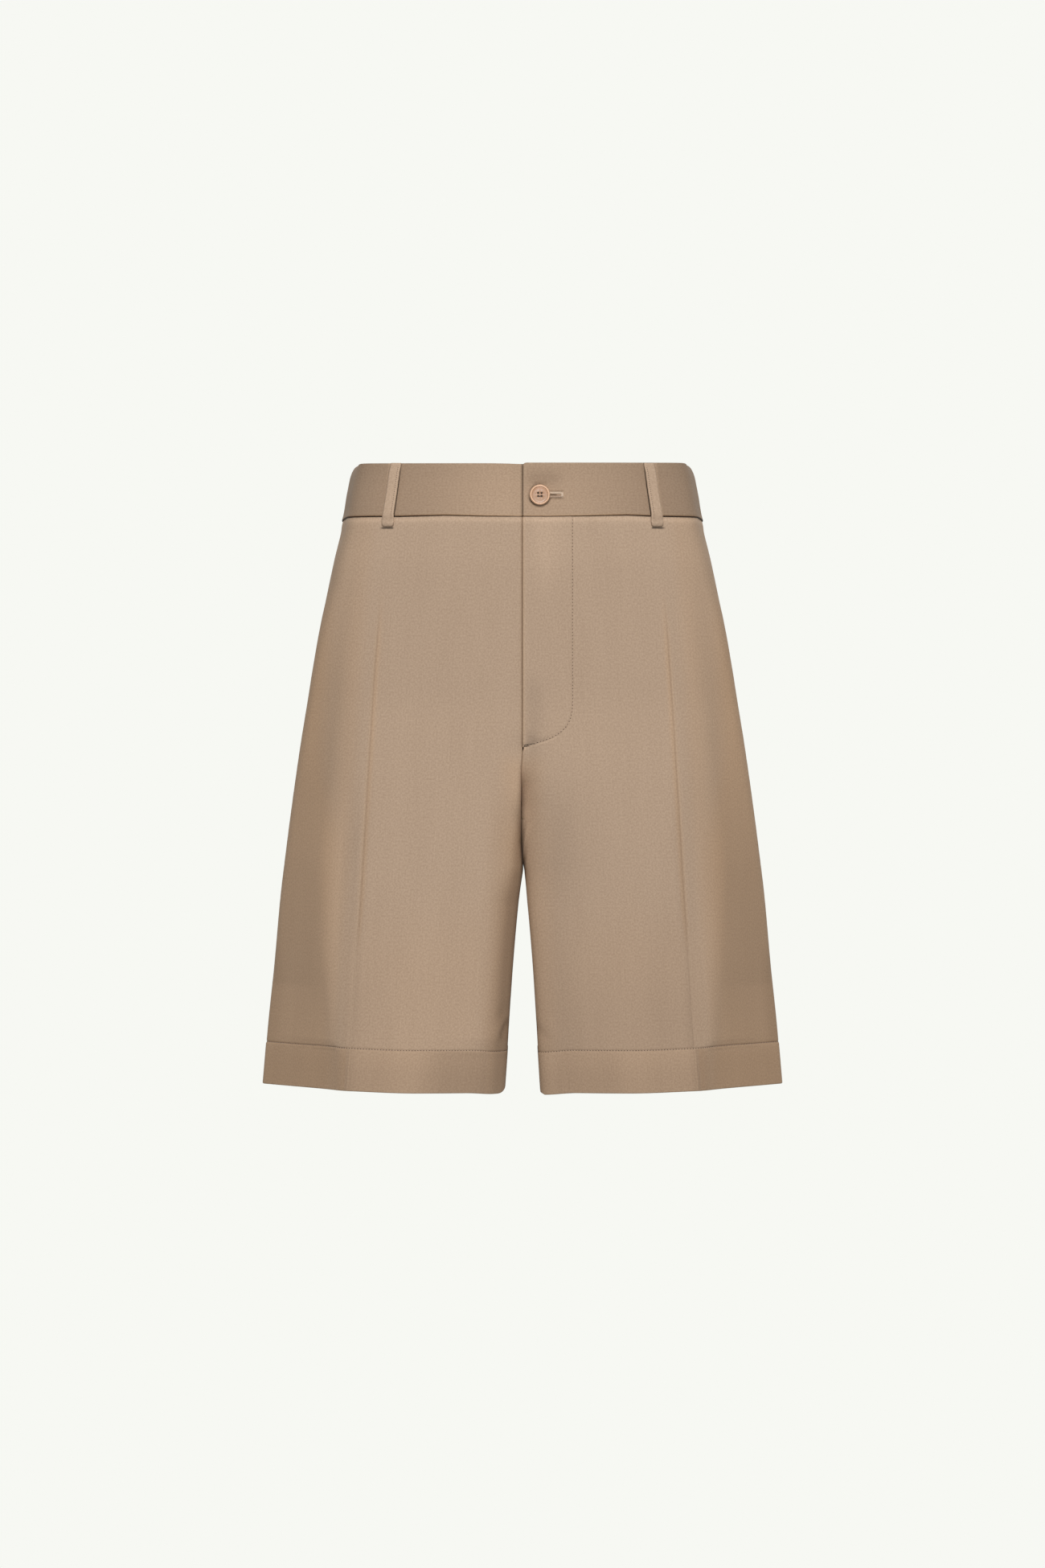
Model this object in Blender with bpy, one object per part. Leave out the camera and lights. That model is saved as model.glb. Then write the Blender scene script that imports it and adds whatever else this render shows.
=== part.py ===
"""Bermuda shorts, standing filled out as when worn, with the waistband buttoned.

Metres, +Z up.  The front faces -Y and the wearer's left is +X.  The origin is the
middle of the waistband's ring, half way up the band in front.

Every panel lies on one surface.  At each height a half ring runs from the side seam
(step 0) over the pressed crease (step 1) to the seam between the legs (step 2), once
for the front and once for the back.  The rings' sizes come from the table SECTIONS.
"""
import math
from collections import namedtuple

import bmesh
import bpy
import numpy as np
from mathutils import Matrix

MM = 0.001

# ---- driving sizes, in millimetres ----
SEAM_GAP = 0.3              # between any two neighbouring pieces
CLOTH = 1.2                 # one layer of cloth with its seam allowance
HEM_WALL = 2.4              # the hem is turned up once

BAND_TOP, SEAM_Z = 21.2, -21.2      # the waistband's edges at the centre front
BAND_WALL = 2.2
BAND_PROUD = 0.6            # how far the band stands out of the panels below it
LEAN_HEIGHT, LEAN_DEPTH = 12.0, 5.0     # the band's top leans in, rounded, at the sides
LEAN_FULL, LEAN_END = 60.0, 90.0        # and this far round the ring from the side seam
FLY_END = -206.5            # where the fly is tacked and the front crotch seam starts
SEAT_END = -195.0           # where the seat seam starts to turn under
FORK_Z, FORK_Y = -264.0, 12.0       # where the four panels meet
HEM_STITCH, HEM_Z = -449.2, -483.7  # in the middle of a leg's front
HEM_GROOVE, HEM_GROOVE_HALF = 0.4, 1.3

TOP_RISE, SEAM_RISE = 3.0, 0.8      # how much higher the band's edges sit at the sides and back
HEM_RISE = 2.6              # the hem rises towards the side seam
HEM_DIP, HEM_DIP_WIDTH = 2.0, 30.0  # and dips towards its inner end
CORNER_ROUND, CORNER_TOP = 5.0, -445.0  # radius of each hem's inner corner, and where it starts

FLY_WIDTH, FLY_RELIEF = 40.0, 0.7   # the fly's stitched width, its extra thickness
FLY_TURN = -161.4           # height where the fly's stitching leaves the vertical
SHIELD_X, SHIELD_WALL = (-12.0, 40.0), 1.6
UNDERLAP = 40.0             # how far the waistband runs on behind the buttoned edge
LAP_RISE, UNDERLAP_DROP = 0.5, 0.4  # the lapped top edge is higher, the underlap's lower

LOOP_WIDTH, LOOP_WALL, LOOP_BOW = 8.2, 1.5, 3.2
LOOP_TOP, LOOP_END = 21.1, -29.6

BUTTON_X, BUTTON_Z = 13.9, -4.0
BUTTON_R, BUTTON_THICK, BUTTON_LIFT = 8.1, 3.0, 1.2
DISH_R = 6.0                # the flat middle inside the rim
HOLE_R, HOLE_PITCH = 0.82, 2.65
SHANK_R = 1.0
BUTTONHOLE_X, BUTTONHOLE_HALF = (12.2, 31.0), 1.5

# ---- the ring at each height, in millimetres and degrees ----
Section = namedtuple("Section", (
    "height",           # above the origin
    "half_width",       # x of the side seam
    "side_y",           # y of the side seam
    "front_depth",      # how far the centre front lies before the origin
    "crease_x",         # x of the front crease
    "crease_drop",      # how far the crease lies behind the centre front
    "crease_turn",      # how far the cloth turns back at once beyond the crease
    "inner_x",          # half the space between the legs
    "back_depth", "back_crease_x", "back_drop", "back_turn",
    "back_round"))      # width over which the back rounds into the inner leg
SECTIONS = (
    #       height half_w side  front crease drop  turn inner back  crease drop turn round
    Section(30.0,  134.5, 2.0, 100.4, 100.2,  8.0,  9.0, .15,  98.0,  91.0, 10.0, 12.0,  0.0),
    Section(21.2,  138.3, 2.0, 100.6, 101.5,  8.0,  9.0, .15,  98.5,  92.0, 10.0, 12.0,  0.0),
    Section(0.0,   144.6, 2.0, 101.0, 104.5,  8.0,  9.0, .15,  99.5,  94.0, 10.0, 12.0,  0.0),
    Section(-21.2, 147.0, 2.0, 101.3, 107.3,  8.0,  9.5, .15, 101.5,  96.5, 11.0, 13.0,  0.0),
    Section(-54.0, 154.6, 3.0, 103.0, 111.3,  8.5, 11.0, .15, 111.0, 100.0, 13.0, 16.0,  0.0),
    Section(-107., 165.0, 5.0, 105.5, 115.6,  8.0, 12.0, .15, 126.0, 103.0, 16.0, 19.0,  0.0),
    Section(-160., 172.8, 6.0, 106.8, 119.4,  6.5, 12.5, .15, 135.0, 106.0, 17.0, 20.0,  0.0),
    Section(-206., 180.4, 5.5, 106.5, 122.3,  5.0, 13.0, .15, 134.5, 109.0, 14.0, 20.0,  1.0),
    Section(-264., 189.2, 4.0, 104.3, 126.0,  3.0, 13.5, .15, 126.0, 112.5,  8.0, 19.0, 10.0),
    Section(-300., 194.2, 3.5, 102.3, 128.2,  2.0, 14.0, .15, 119.5, 115.0,  5.0, 18.0, 18.0),
    Section(-318., 196.7, 3.0, 101.3, 129.3,  1.5, 14.5, 2.3, 116.0, 117.0,  4.0, 18.0, 22.0),
    Section(-371., 202.4, 2.5,  98.3, 133.0,  0.5, 16.0, 7.3, 105.0, 121.0,  2.0, 19.0, 28.0),
    Section(-424., 207.9, 2.0,  95.3, 136.3, -0.3, 18.0, 11.,  95.0, 125.0,  1.0, 20.0, 32.0),
    Section(-484., 213.2, 2.0,  92.0, 140.6, -1.0, 22.0, 14.6,  86.0, 129.0,  0.0, 22.0, 35.0),
)
HEIGHTS = np.array([section.height for section in SECTIONS])[::-1]

SideTurn = namedtuple("SideTurn", (
    "height",
    "front_tilt", "back_tilt",      # how steep the flat slope towards the side seam stands
    "run",                          # how far past the crease the cloth runs on before it turns
    "softness",                     # how far on each side of that turn it is rounded
    "side_round",                   # and the same for the turn into the side seam
    "side_in"))                     # how far the cloth has come in by that turn
SIDE_TURNS = (
    #        height  front back  run   soft  side  in
    SideTurn(21.0,   36.0, 42.0, 14.0, 14.0, 22.0, 7.0),
    SideTurn(-21.0,  32.0, 40.0, 14.0, 14.0, 22.0, 7.0),
    SideTurn(-60.0,  28.0, 38.0, 17.0, 10.0, 14.0, 4.6),
    SideTurn(-100.0, 33.0, 40.0, 19.0, 9.0,  10.0, 2.4),
    SideTurn(-150.0, 41.0, 44.0, 20.0, 12.0, 9.0,  0.3),
    SideTurn(-200.0, 46.0, 48.0, 20.0, 16.0, 8.0,  0.0),
    SideTurn(-250.0, 52.0, 52.0, 23.0, 20.0, 8.0,  0.0),
    SideTurn(-300.0, 56.0, 56.0, 25.0, 22.0, 7.0,  0.0),
    SideTurn(-380.0, 59.0, 60.0, 20.0, 18.0, 7.0,  0.0),
    SideTurn(-444.0, 60.0, 60.0, 13.0, 12.0, 7.0,  0.0),
    SideTurn(-452.0, 60.0, 60.0, 8.0,  6.0,  7.0,  0.0),
    SideTurn(-484.0, 60.0, 60.0, 7.0,  5.0,  7.0,  0.0),
)
InnerTurn = namedtuple("InnerTurn", (
    "height",
    "left_width", "right_width",    # width over which the front rounds into the inner leg
    "left_bow", "right_bow"))       # how far the front bends back before that
INNER_TURNS = (
    #         height  width L, R  bow L, R
    InnerTurn(-206.0, 0.0, 0.0,   0.0, 0.0),
    InnerTurn(-212.0, 12.0, 1.0,  0.0, 0.0),
    InnerTurn(-230.0, 24.0, 3.0,  1.0, 0.0),
    InnerTurn(-252.0, 28.0, 5.0,  4.0, 0.0),
    InnerTurn(-278.0, 20.0, 10.0, 9.0, 0.0),
    InnerTurn(-304.0, 13.0, 18.0, 13.0, 0.0),
    InnerTurn(-330.0, 10.0, 27.0, 15.0, 1.0),
    InnerTurn(-440.0, 9.0, 27.0,  17.0, 3.0),
    InnerTurn(-455.0, 9.0, 28.0,  19.0, 11.0),
    InnerTurn(-484.0, 9.0, 28.0,  20.0, 14.0),
)
INNER_TILT = {"left": 46.0, "right": 68.0, "back": 70.0}    # how steep the rounded edges end
BOW_REACH = 95.0            # the bend starts this far from the middle
DROP_POWER = 2.2            # how suddenly the front falls back towards the crease
SIDE_DEPTH = 3.5            # the shortest turn into the side seam
INNER_ROUND = 7.0           # the softest turn into the inner leg's seam
ROUND_SHARE = 0.5           # share of the inner steps that lies on the rounded edge

# ---- how finely the pieces are divided ----
OUTER_STEPS, INNER_STEPS = 13, 15
BODY_ROWS, CROTCH_ROWS, LEG_ROWS, HEM_ROWS = 7, 6, 6, 2
WAIST_CROWDING = 1.3        # rows lie closer together towards the waist
ROUND_SIDES = 32

CLOTH_COLOUR = (0.436, 0.314, 0.223, 1.0)
BUTTON_COLOUR = (0.485, 0.305, 0.195, 1.0)
THREAD_COLOUR = (0.40, 0.27, 0.18, 1.0)


def smoothstep(value):
    value = np.clip(value, 0.0, 1.0)
    return value * value * (3.0 - 2.0 * value)


def column(name, height):
    """One column of SECTIONS at any height, a smooth curve through its values."""
    values = np.array([getattr(section, name) for section in SECTIONS])[::-1]
    slopes = np.gradient(values, HEIGHTS)
    low = np.clip(np.searchsorted(HEIGHTS, height) - 1, 0, len(HEIGHTS) - 2)
    span = HEIGHTS[low + 1] - HEIGHTS[low]
    t = np.clip((height - HEIGHTS[low]) / span, 0.0, 1.0)
    return ((1 + 2 * t) * (1 - t) ** 2 * values[low] + t * (1 - t) ** 2 * span * slopes[low]
            + t * t * (3 - 2 * t) * values[low + 1] + t * t * (t - 1) * span * slopes[low + 1])


def reading(table, name, height):
    """One column of a table of turns at any height, straight between its rows."""
    rows = sorted(table)
    return np.interp(height, [row.height for row in rows], [getattr(row, name) for row in rows])


def pair(x, depth):
    return np.stack(np.broadcast_arrays(x, depth), axis=-1)


def rounded_walk(corners, rounds, run):
    """Points along straight legs between corners, evenly by run from 0 to 1.

    Near an inner corner, within its round, the walk follows a parabola instead.
    """
    legs = [end - start for start, end in zip(corners, corners[1:])]
    lengths = [np.linalg.norm(leg, axis=-1) + 1e-6 for leg in legs]
    ways = [leg / length[..., None] for leg, length in zip(legs, lengths)]
    ends = np.cumsum(lengths, axis=0)
    walked = np.clip(run, 0.0, 1.0) * ends[-1]
    result = corners[0] + ways[0] * walked[..., None]
    for corner, way, end in zip(corners[1:], ways[1:], ends):
        past = (walked - end)[..., None]
        result = np.where(past > 0.0, corner + way * past, result)
    for corner, before, after, end, size in zip(corners[1:], ways, ways[1:], ends, rounds):
        size = np.maximum(size, 1e-6)
        t = np.clip((walked - end + size) / (2.0 * size), 0.0, 1.0)[..., None]
        size = size[..., None]
        curve = ((1 - t) ** 2 * (corner - before * size) + 2 * t * (1 - t) * corner
                 + t * t * (corner + after * size))
        result = np.where(np.abs(walked - end)[..., None] < size, curve, result)
    return result


def outer_side(face, step, height):
    """x and depth from the side seam over a flat slope and a soft turn to the crease."""
    outward = -1.0 if face == "front" else 1.0
    side_x = column("half_width", height)
    side_depth = outward * column("side_y", height) + SEAM_GAP / 2
    crease_x, crease_depth, turn = crease_line(face, height)
    tilt, run, softness, side_round, side_in = (
        reading(SIDE_TURNS, name, height)
        for name in (face + "_tilt", "run", "softness", "side_round", "side_in"))
    knee_x = side_x - side_in
    turn_x, turn_depth = crease_x + run * np.cos(turn), crease_depth - run * np.sin(turn)
    knee_depth = turn_depth - (knee_x - turn_x) * np.tan(np.radians(tilt))
    knee_depth = np.maximum(knee_depth, side_depth + SIDE_DEPTH)
    room = np.hypot(knee_x - turn_x, turn_depth - knee_depth)
    side_round = np.minimum(np.minimum(side_round, knee_depth - side_depth), 0.45 * room)
    walked = rounded_walk((pair(side_x, side_depth), pair(knee_x, knee_depth),
                           pair(turn_x, turn_depth), pair(crease_x, crease_depth)),
                          (side_round, np.minimum(np.minimum(softness, run), 0.5 * room)), step)
    # the short side bulges instead of running straight, and is level at the side seam
    share = np.clip((walked[..., 1] - side_depth) / (knee_depth - side_depth), 0.0, 1.0)
    walked[..., 0] += side_in * share * (1.0 - share) ** 2
    return walked


def crease_line(face, height):
    """x, depth and turn in radians of a face's crease."""
    prefix, crease_name = ("crease", "crease_x") if face == "front" else ("back", "back_crease_x")
    depth = column(face + "_depth", height) - column(prefix + "_drop", height)
    return column(crease_name, height), depth, np.radians(column(prefix + "_turn", height))


def inner_side(face, side, step, height):
    """x and depth from the crease over the flat face and a rounded edge to the inner seam."""
    outward = -1.0 if face == "front" else 1.0
    crease_x, crease_depth, _ = crease_line(face, height)
    face_depth = column(face + "_depth", height)
    if face == "front":
        width, bow = (reading(INNER_TURNS, side + name, height) for name in ("_width", "_bow"))
        tilt = INNER_TILT[side]
    else:
        width, bow = np.maximum(column("back_round", height), 0.0), np.zeros(height.shape)
        tilt = INNER_TILT["back"]

    # the seam in the middle runs down, then turns under to the fork
    turn_start = FLY_END if face == "front" else SEAT_END
    sine = np.clip((turn_start - height) / (turn_start - FORK_Z), 0.0, 1.0)
    fork_depth = outward * FORK_Y + SEAM_GAP / 2
    seam_depth = face_depth - (face_depth - fork_depth) * (1.0 - np.sqrt(1.0 - sine * sine))
    inner_x = np.maximum(column("inner_x", height), SEAM_GAP / 2)
    width = np.where(sine > 0.0, width, 0.0)

    share = ROUND_SHARE * sine
    inside = np.clip(step - 1.0, 0.0, 1.0)
    flat_end = inner_x + width
    t = np.clip(inside / (1.0 - share), 0.0, 1.0)
    flat_x = crease_x - (crease_x - flat_end) * t
    bent = bow * np.clip(1.0 - flat_x / BOW_REACH, 0.0, 1.0) ** 2
    flat_depth = face_depth - (face_depth - crease_depth) * (1.0 - t) ** DROP_POWER - bent

    start_depth = face_depth - bow * (1.0 - flat_end / BOW_REACH) ** 2
    slope = 2.0 * bow * (1.0 - flat_end / BOW_REACH) / BOW_REACH
    bend_x, bend_depth = inner_x + 0.5 * width, start_depth - slope * 0.5 * width
    knee_depth = np.maximum(bend_depth - 0.5 * width * np.tan(np.radians(tilt)),
                            seam_depth + 0.1 * np.maximum(start_depth - seam_depth, 0.0))
    knee_depth = np.minimum(knee_depth, bend_depth)
    room = np.hypot(0.5 * width, bend_depth - knee_depth)
    knee_round = np.minimum(np.minimum(0.2 * room, INNER_ROUND), knee_depth - seam_depth)
    rounded = rounded_walk((pair(flat_end, start_depth), pair(bend_x, bend_depth),
                            pair(inner_x, knee_depth), pair(inner_x, seam_depth)),
                           (np.minimum(0.5 * width, 0.8 * room), knee_round),
                           (inside - 1.0 + share) / np.maximum(share, 1e-6))
    on_round = (inside > 1.0 - share) & (sine > 0.0)
    return np.where(on_round[..., None], rounded, pair(flat_x, flat_depth))


def ring_points(face, step, height, side="left"):
    """Points of the cloth's outer face, in millimetres.

    face is "front" or "back", side the wearer's, and step and height are arrays of
    one shape.  The depth counts outwards from the origin, so the two faces share one
    formula.
    """
    outward = -1.0 if face == "front" else 1.0
    across = np.where((step <= 1.0)[..., None], outer_side(face, step, height),
                      inner_side(face, side, step, height))
    x, y = across[..., 0], outward * across[..., 1]
    in_band = np.clip((height - SEAM_Z) / (BAND_TOP - SEAM_Z), 0.0, 1.0)
    waist_rise = (SEAM_RISE * smoothstep((height + 90.0) / (90.0 + SEAM_Z))
                  + (TOP_RISE - SEAM_RISE) * in_band)
    waist_rise = waist_rise * (1.0 - np.clip(-y / 101.0, 0.0, 1.0) ** 2)
    hem_fade = smoothstep((-380.0 - height) / 65.0)
    hem_rise = HEM_RISE * smoothstep((x - 85.0) / 80.0)
    inner_x = np.maximum(column("inner_x", height), SEAM_GAP / 2)
    hem_rise = hem_rise - HEM_DIP * smoothstep(1.0 - (x - inner_x) / HEM_DIP_WIDTH)
    corner = CORNER_ROUND - np.clip(x - inner_x, 0.0, CORNER_ROUND)
    corner_fade = np.clip((CORNER_TOP - height) / (CORNER_TOP - HEM_Z), 0.0, 1.0) ** 1.5
    corner_rise = (CORNER_ROUND - np.sqrt(CORNER_ROUND ** 2 - corner ** 2)) * corner_fade
    rise = waist_rise + hem_rise * hem_fade + corner_rise
    return np.stack([x, y, height + rise], axis=-1)


def face_points(face, x, height):
    """Points of the outer face at a given x, above the legs; x may cross the middle."""
    crease = column("crease_x" if face == "front" else "back_crease_x", height)
    half_gap = SEAM_GAP / 2
    inside = 1.0 + (crease - np.abs(x)) / (crease - half_gap)
    points = ring_points(face, np.clip(inside, 1.0, 2.0), height)
    points[..., 0] = np.where(inside >= 1.0, x, points[..., 0])
    beyond = np.abs(x) - crease
    if np.any(beyond > 0.0):
        # past the crease x is no formula in the step, so the step is searched for
        steps = np.linspace(0.0, 1.0, 201)
        for place in np.argwhere(beyond > 0.0):
            place = tuple(place)
            level = np.full(steps.shape, height[place])
            ring = ring_points(face, steps, level)
            near = np.interp(-abs(x[place]), -ring[:, 0], steps)
            point = ring_points(face, np.array([near]), level[:1])[0]
            points[place] = (x[place], point[1], point[2])
    return points


def normals(points):
    """Outward normals of a grid whose rows go down and whose columns go to the middle."""
    down = np.gradient(points, axis=0)
    across = np.gradient(points, axis=1)
    normal = np.cross(across, down)
    return normal / np.linalg.norm(normal, axis=-1, keepdims=True)


def outward_normals(points, face):
    """Normals of a grid of the cloth's outer face, whichever way its columns run."""
    normal = normals(points)
    outward = -1.0 if face == "front" else 1.0
    flip = np.sign(np.mean(normal[..., 1]) * outward)
    return normal * flip


def shell(name, outer, inner, material, mirrored=False, holes=()):
    """A closed wall between two grids of points, open at the cells named in holes."""
    rows, columns = outer.shape[:2]
    mesh_data = bmesh.new()
    sides = []
    for grid in (outer, inner):
        sides.append([[mesh_data.verts.new(point * MM) for point in row] for row in grid])
    cells = {(r, c) for r in range(rows - 1) for c in range(columns - 1)} - set(holes)
    rims = (((0, 0), (0, 1), (-1, 0)), ((1, 0), (1, 1), (1, 0)),
            ((0, 0), (1, 0), (0, -1)), ((0, 1), (1, 1), (0, 1)))
    for r, c in sorted(cells):
        for side in sides:
            mesh_data.faces.new((side[r][c], side[r][c + 1], side[r + 1][c + 1], side[r + 1][c]))
        for first, second, beside in rims:
            if (r + beside[0], c + beside[1]) not in cells:
                a, b = (r + first[0], c + first[1]), (r + second[0], c + second[1])
                mesh_data.faces.new((sides[0][a[0]][a[1]], sides[0][b[0]][b[1]],
                                     sides[1][b[0]][b[1]], sides[1][a[0]][a[1]]))
    loose = [vertex for vertex in mesh_data.verts if not vertex.link_faces]
    bmesh.ops.delete(mesh_data, geom=loose, context="VERTS")
    if mirrored:
        bmesh.ops.transform(mesh_data, matrix=Matrix.Scale(-1, 4, (1, 0, 0)), verts=mesh_data.verts)
    bmesh.ops.triangulate(mesh_data, faces=mesh_data.faces)
    bmesh.ops.recalc_face_normals(mesh_data, faces=mesh_data.faces)
    return add_object(name, mesh_data, material)


def add_object(name, mesh_data, material):
    mesh = bpy.data.meshes.new(name)
    mesh_data.to_mesh(mesh)
    mesh_data.free()
    mesh.materials.append(material)
    mesh.shade_smooth()
    mesh.set_sharp_from_angle(angle=math.radians(35))
    made = bpy.data.objects.new(name, mesh)
    bpy.context.collection.objects.link(made)
    return made


def make_material(name, colour, roughness):
    material = bpy.data.materials.new(name)
    material.use_nodes = True
    shader = material.node_tree.nodes["Principled BSDF"]
    shader.inputs["Base Color"].default_value = colour
    shader.inputs["Roughness"].default_value = roughness
    shader.inputs["Metallic"].default_value = 0.0
    return material


def panel_heights(face):
    """Heights of a panel's rows at the side seam, and of the same rows at its inner edge."""
    half_gap = SEAM_GAP / 2
    turn_start = FLY_END if face == "front" else SEAT_END
    top = SEAM_Z - half_gap
    hem = (HEM_STITCH + HEM_GROOVE_HALF, HEM_STITCH, HEM_STITCH - HEM_GROOVE_HALF)
    leg = np.linspace(FORK_Z, hem[0], LEG_ROWS + 1)[1:-1]
    turned_up = np.linspace(hem[2], HEM_Z, HEM_ROWS + 1)[1:]
    shared = np.concatenate([leg, hem, turned_up])
    body = np.linspace(0.0, 1.0, BODY_ROWS + 1)[:-1] ** WAIST_CROWDING
    quarter = np.radians(np.linspace(0.0, 90.0, CROTCH_ROWS + 1))
    side = np.concatenate([top + (FLY_END - top) * body,
                           np.linspace(FLY_END, FORK_Z, CROTCH_ROWS + 1), shared])
    inner = np.concatenate([top + (turn_start - top) * body,
                            turn_start - (turn_start - FORK_Z) * np.sin(quarter), shared])
    return side, inner


def fly_mask(points):
    """1 on the fly between the centre front and its J-shaped stitching, else 0."""
    x, z = points[..., 0], points[..., 2]
    fall = np.clip((FLY_TURN - z) / (FLY_TURN - FLY_END), 0.0, 1.0)
    edge = FLY_WIDTH * np.sqrt(np.maximum(1.0 - fall ** 2.6, 0.0))
    return np.where(z > FLY_END, smoothstep((edge - x) / 3.0), 0.0)


def make_panel(name, face, mirrored, material):
    side_heights, inner_heights = panel_heights(face)
    steps = np.concatenate([np.linspace(0.0, 1.0, OUTER_STEPS + 1),
                            np.linspace(1.0, 2.0, INNER_STEPS + 1)[1:]])
    blend = smoothstep((steps - 1.2) / 0.8)
    height = side_heights[:, None] * (1 - blend) + inner_heights[:, None] * blend
    step = np.broadcast_to(steps, height.shape)
    base = ring_points(face, step, height, name.split("_")[1])

    normal = outward_normals(base, face)
    # the edges stay square to their seams
    normal[:, 0, 1] = 0.0
    above = inner_heights >= (FLY_END if face == "front" else SEAT_END) - 1e-6
    normal[above, -1, 0] = 0.0
    normal[~above, -1] = (-1.0, 0.0, 0.0)
    normal /= np.linalg.norm(normal, axis=-1, keepdims=True)

    raised = np.zeros(height.shape)
    raised[len(side_heights) - HEM_ROWS - 2] = -HEM_GROOVE
    if name == "front_left":
        raised += FLY_RELIEF * fly_mask(base)
    wall = np.full(height.shape, CLOTH)
    wall[-(HEM_ROWS + 1):] = HEM_WALL
    outer = base + normal * raised[..., None]
    inner = base - normal * wall[..., None]
    shell(name, outer, inner, material, mirrored)


def band_columns(x_front, height):
    """Points of half a waistband from the centre front, through x_front, to the back."""
    level = np.full((len(x_front), len(height)), height).T
    front = face_points("front", np.broadcast_to(x_front, level.shape).copy(), level)
    arcs = []
    for face, steps in (("front", np.linspace(1.0, 0.0, OUTER_STEPS + 1)),
                        ("back", np.linspace(0.0, 2.0, OUTER_STEPS + 7)[1:])):
        level = np.full((len(steps), len(height)), height).T
        arcs.append(ring_points(face, np.broadcast_to(steps, level.shape), level))
    # the front arc's side seam column stands in for both faces
    arcs[0][:, -1, 1] += SEAM_GAP / 2
    return np.concatenate([front] + arcs, axis=1)


def ring_normals(points):
    """Level outward normals of a grid whose columns run from the front to the back."""
    normal = -np.cross(np.gradient(points, axis=1), np.gradient(points, axis=0))
    normal[:, -1] = (0.0, 1.0, 0.0)
    return normal / np.linalg.norm(normal, axis=-1, keepdims=True)


def side_lean(points, height, side_column):
    """How far the band leans in at each of its points, as a quarter of an ellipse."""
    walked = np.cumsum(np.linalg.norm(np.diff(points, axis=1), axis=-1), axis=1)
    walked = np.pad(walked, ((0, 0), (1, 0)))
    from_side = np.abs(walked - walked[:, side_column:side_column + 1])
    at_side = 1.0 - smoothstep((from_side - LEAN_FULL) / (LEAN_END - LEAN_FULL))
    share = 1.0 - np.clip((BAND_TOP - height) / LEAN_HEIGHT, 0.0, 1.0)
    return at_side * LEAN_DEPTH * (1.0 - np.sqrt(1.0 - share ** 2))[:, None]


def make_lapped_band(material):
    """The wearer's left half, on top in front, with the buttonhole left open."""
    bottom = SEAM_Z + SEAM_GAP / 2
    hole = (BUTTON_Z - BUTTONHOLE_HALF, BUTTON_Z + BUTTONHOLE_HALF)
    height = np.array([bottom, *hole, 9.0, 16.0, 19.5, BAND_TOP])[::-1]
    x_front = np.array([SEAM_GAP / 2, 6.0, *BUTTONHOLE_X, 48.0, 66.0, 85.0])
    base = band_columns(x_front, height)
    normal = ring_normals(base)
    normal[:, 0] = (0.0, -1.0, 0.0)
    lift = (BAND_PROUD - side_lean(base, height, len(x_front) + OUTER_STEPS))[..., None]
    base[0, :, 2] += LAP_RISE * smoothstep((40.0 - base[0, :, 1]) / 80.0)
    shell("waistband_left", base + normal * lift, base + normal * (lift - BAND_WALL), material,
          holes=[(4, 2)])


def make_underlap_band(material):
    """The wearer's right half, which runs on behind the buttoned edge."""
    bottom = SEAM_Z + SEAM_GAP / 2
    height = np.array([bottom, -7.0, 7.0, 16.0, 19.5, BAND_TOP])[::-1]
    x_front = np.array([-UNDERLAP, -26.0, -13.0, 1.5, 5.5, 10.0, 15.0, 30.0, 48.0, 66.0, 85.0])
    base = band_columns(x_front, height)
    tucked = 1.0 - smoothstep((base[..., 0] - x_front[3]) / (x_front[6] - x_front[3]))
    tucked[:, len(x_front):] = 0.0
    normal = ring_normals(base)
    normal[:, :3] = (0.0, -1.0, 0.0)
    lift = BAND_PROUD - (BAND_WALL + SEAM_GAP) * tucked
    lift -= side_lean(base, height, len(x_front) + OUTER_STEPS)
    base[0, :, 2] -= UNDERLAP_DROP * (1.0 - smoothstep(base[0, :, 0] / 30.0))
    outer = base + normal * lift[..., None]
    inner = base + normal * (lift - BAND_WALL)[..., None]
    shell("waistband_right", outer, inner, material, mirrored=True)


def make_fly_shield(material):
    """The underlap behind the fly edge, just inside both fronts."""
    half_gap = SEAM_GAP / 2
    height = np.linspace(SEAM_Z - half_gap, FLY_END + 8.0, 7)
    x = np.linspace(*SHIELD_X, 7)
    grid_x, grid_z = np.meshgrid(x, height)
    base = face_points("front", grid_x, grid_z)
    normal = outward_normals(base, "front")
    outer = base - normal * (CLOTH + SEAM_GAP)
    inner = base - normal * (CLOTH + SEAM_GAP + SHIELD_WALL)
    shell("fly_shield", outer, inner, material)


def make_belt_loop(name, face, x_line, mirrored, material):
    """A strip sewn to the band's top edge and below its seam, and bowed between them."""
    height = np.array([LOOP_TOP, 19.5, 15.0, 8.0, 0.0, -8.0, -15.0, -20.5, -24.5, -27.5, LOOP_END])
    middle = x_line(height)
    across = np.array([-0.5, 0.0, 0.5]) * LOOP_WIDTH
    grid_x = middle[:, None] + across
    grid_z = np.broadcast_to(height[:, None], grid_x.shape).copy()
    base = face_points(face, grid_x, grid_z)
    normal = outward_normals(base, face)
    ends = smoothstep((LOOP_TOP - height) / 8.0) * smoothstep((height + 27.5) / 10.0)
    proud = BAND_PROUD * smoothstep((height + 27.5) / 4.0)
    lift = (SEAM_GAP + 0.05 + proud + (LOOP_BOW - SEAM_GAP) * ends)[:, None, None]
    shell(name, base + normal * (lift + LOOP_WALL), base + normal * lift, material, mirrored)


def front_loop_line(height):
    """x of the front loops' middles, which follow the crease up the waistband."""
    return column("crease_x", height)


def back_loop_line(height):
    return column("back_crease_x", height)


def centre_line(height):
    return np.zeros(height.shape)


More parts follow.
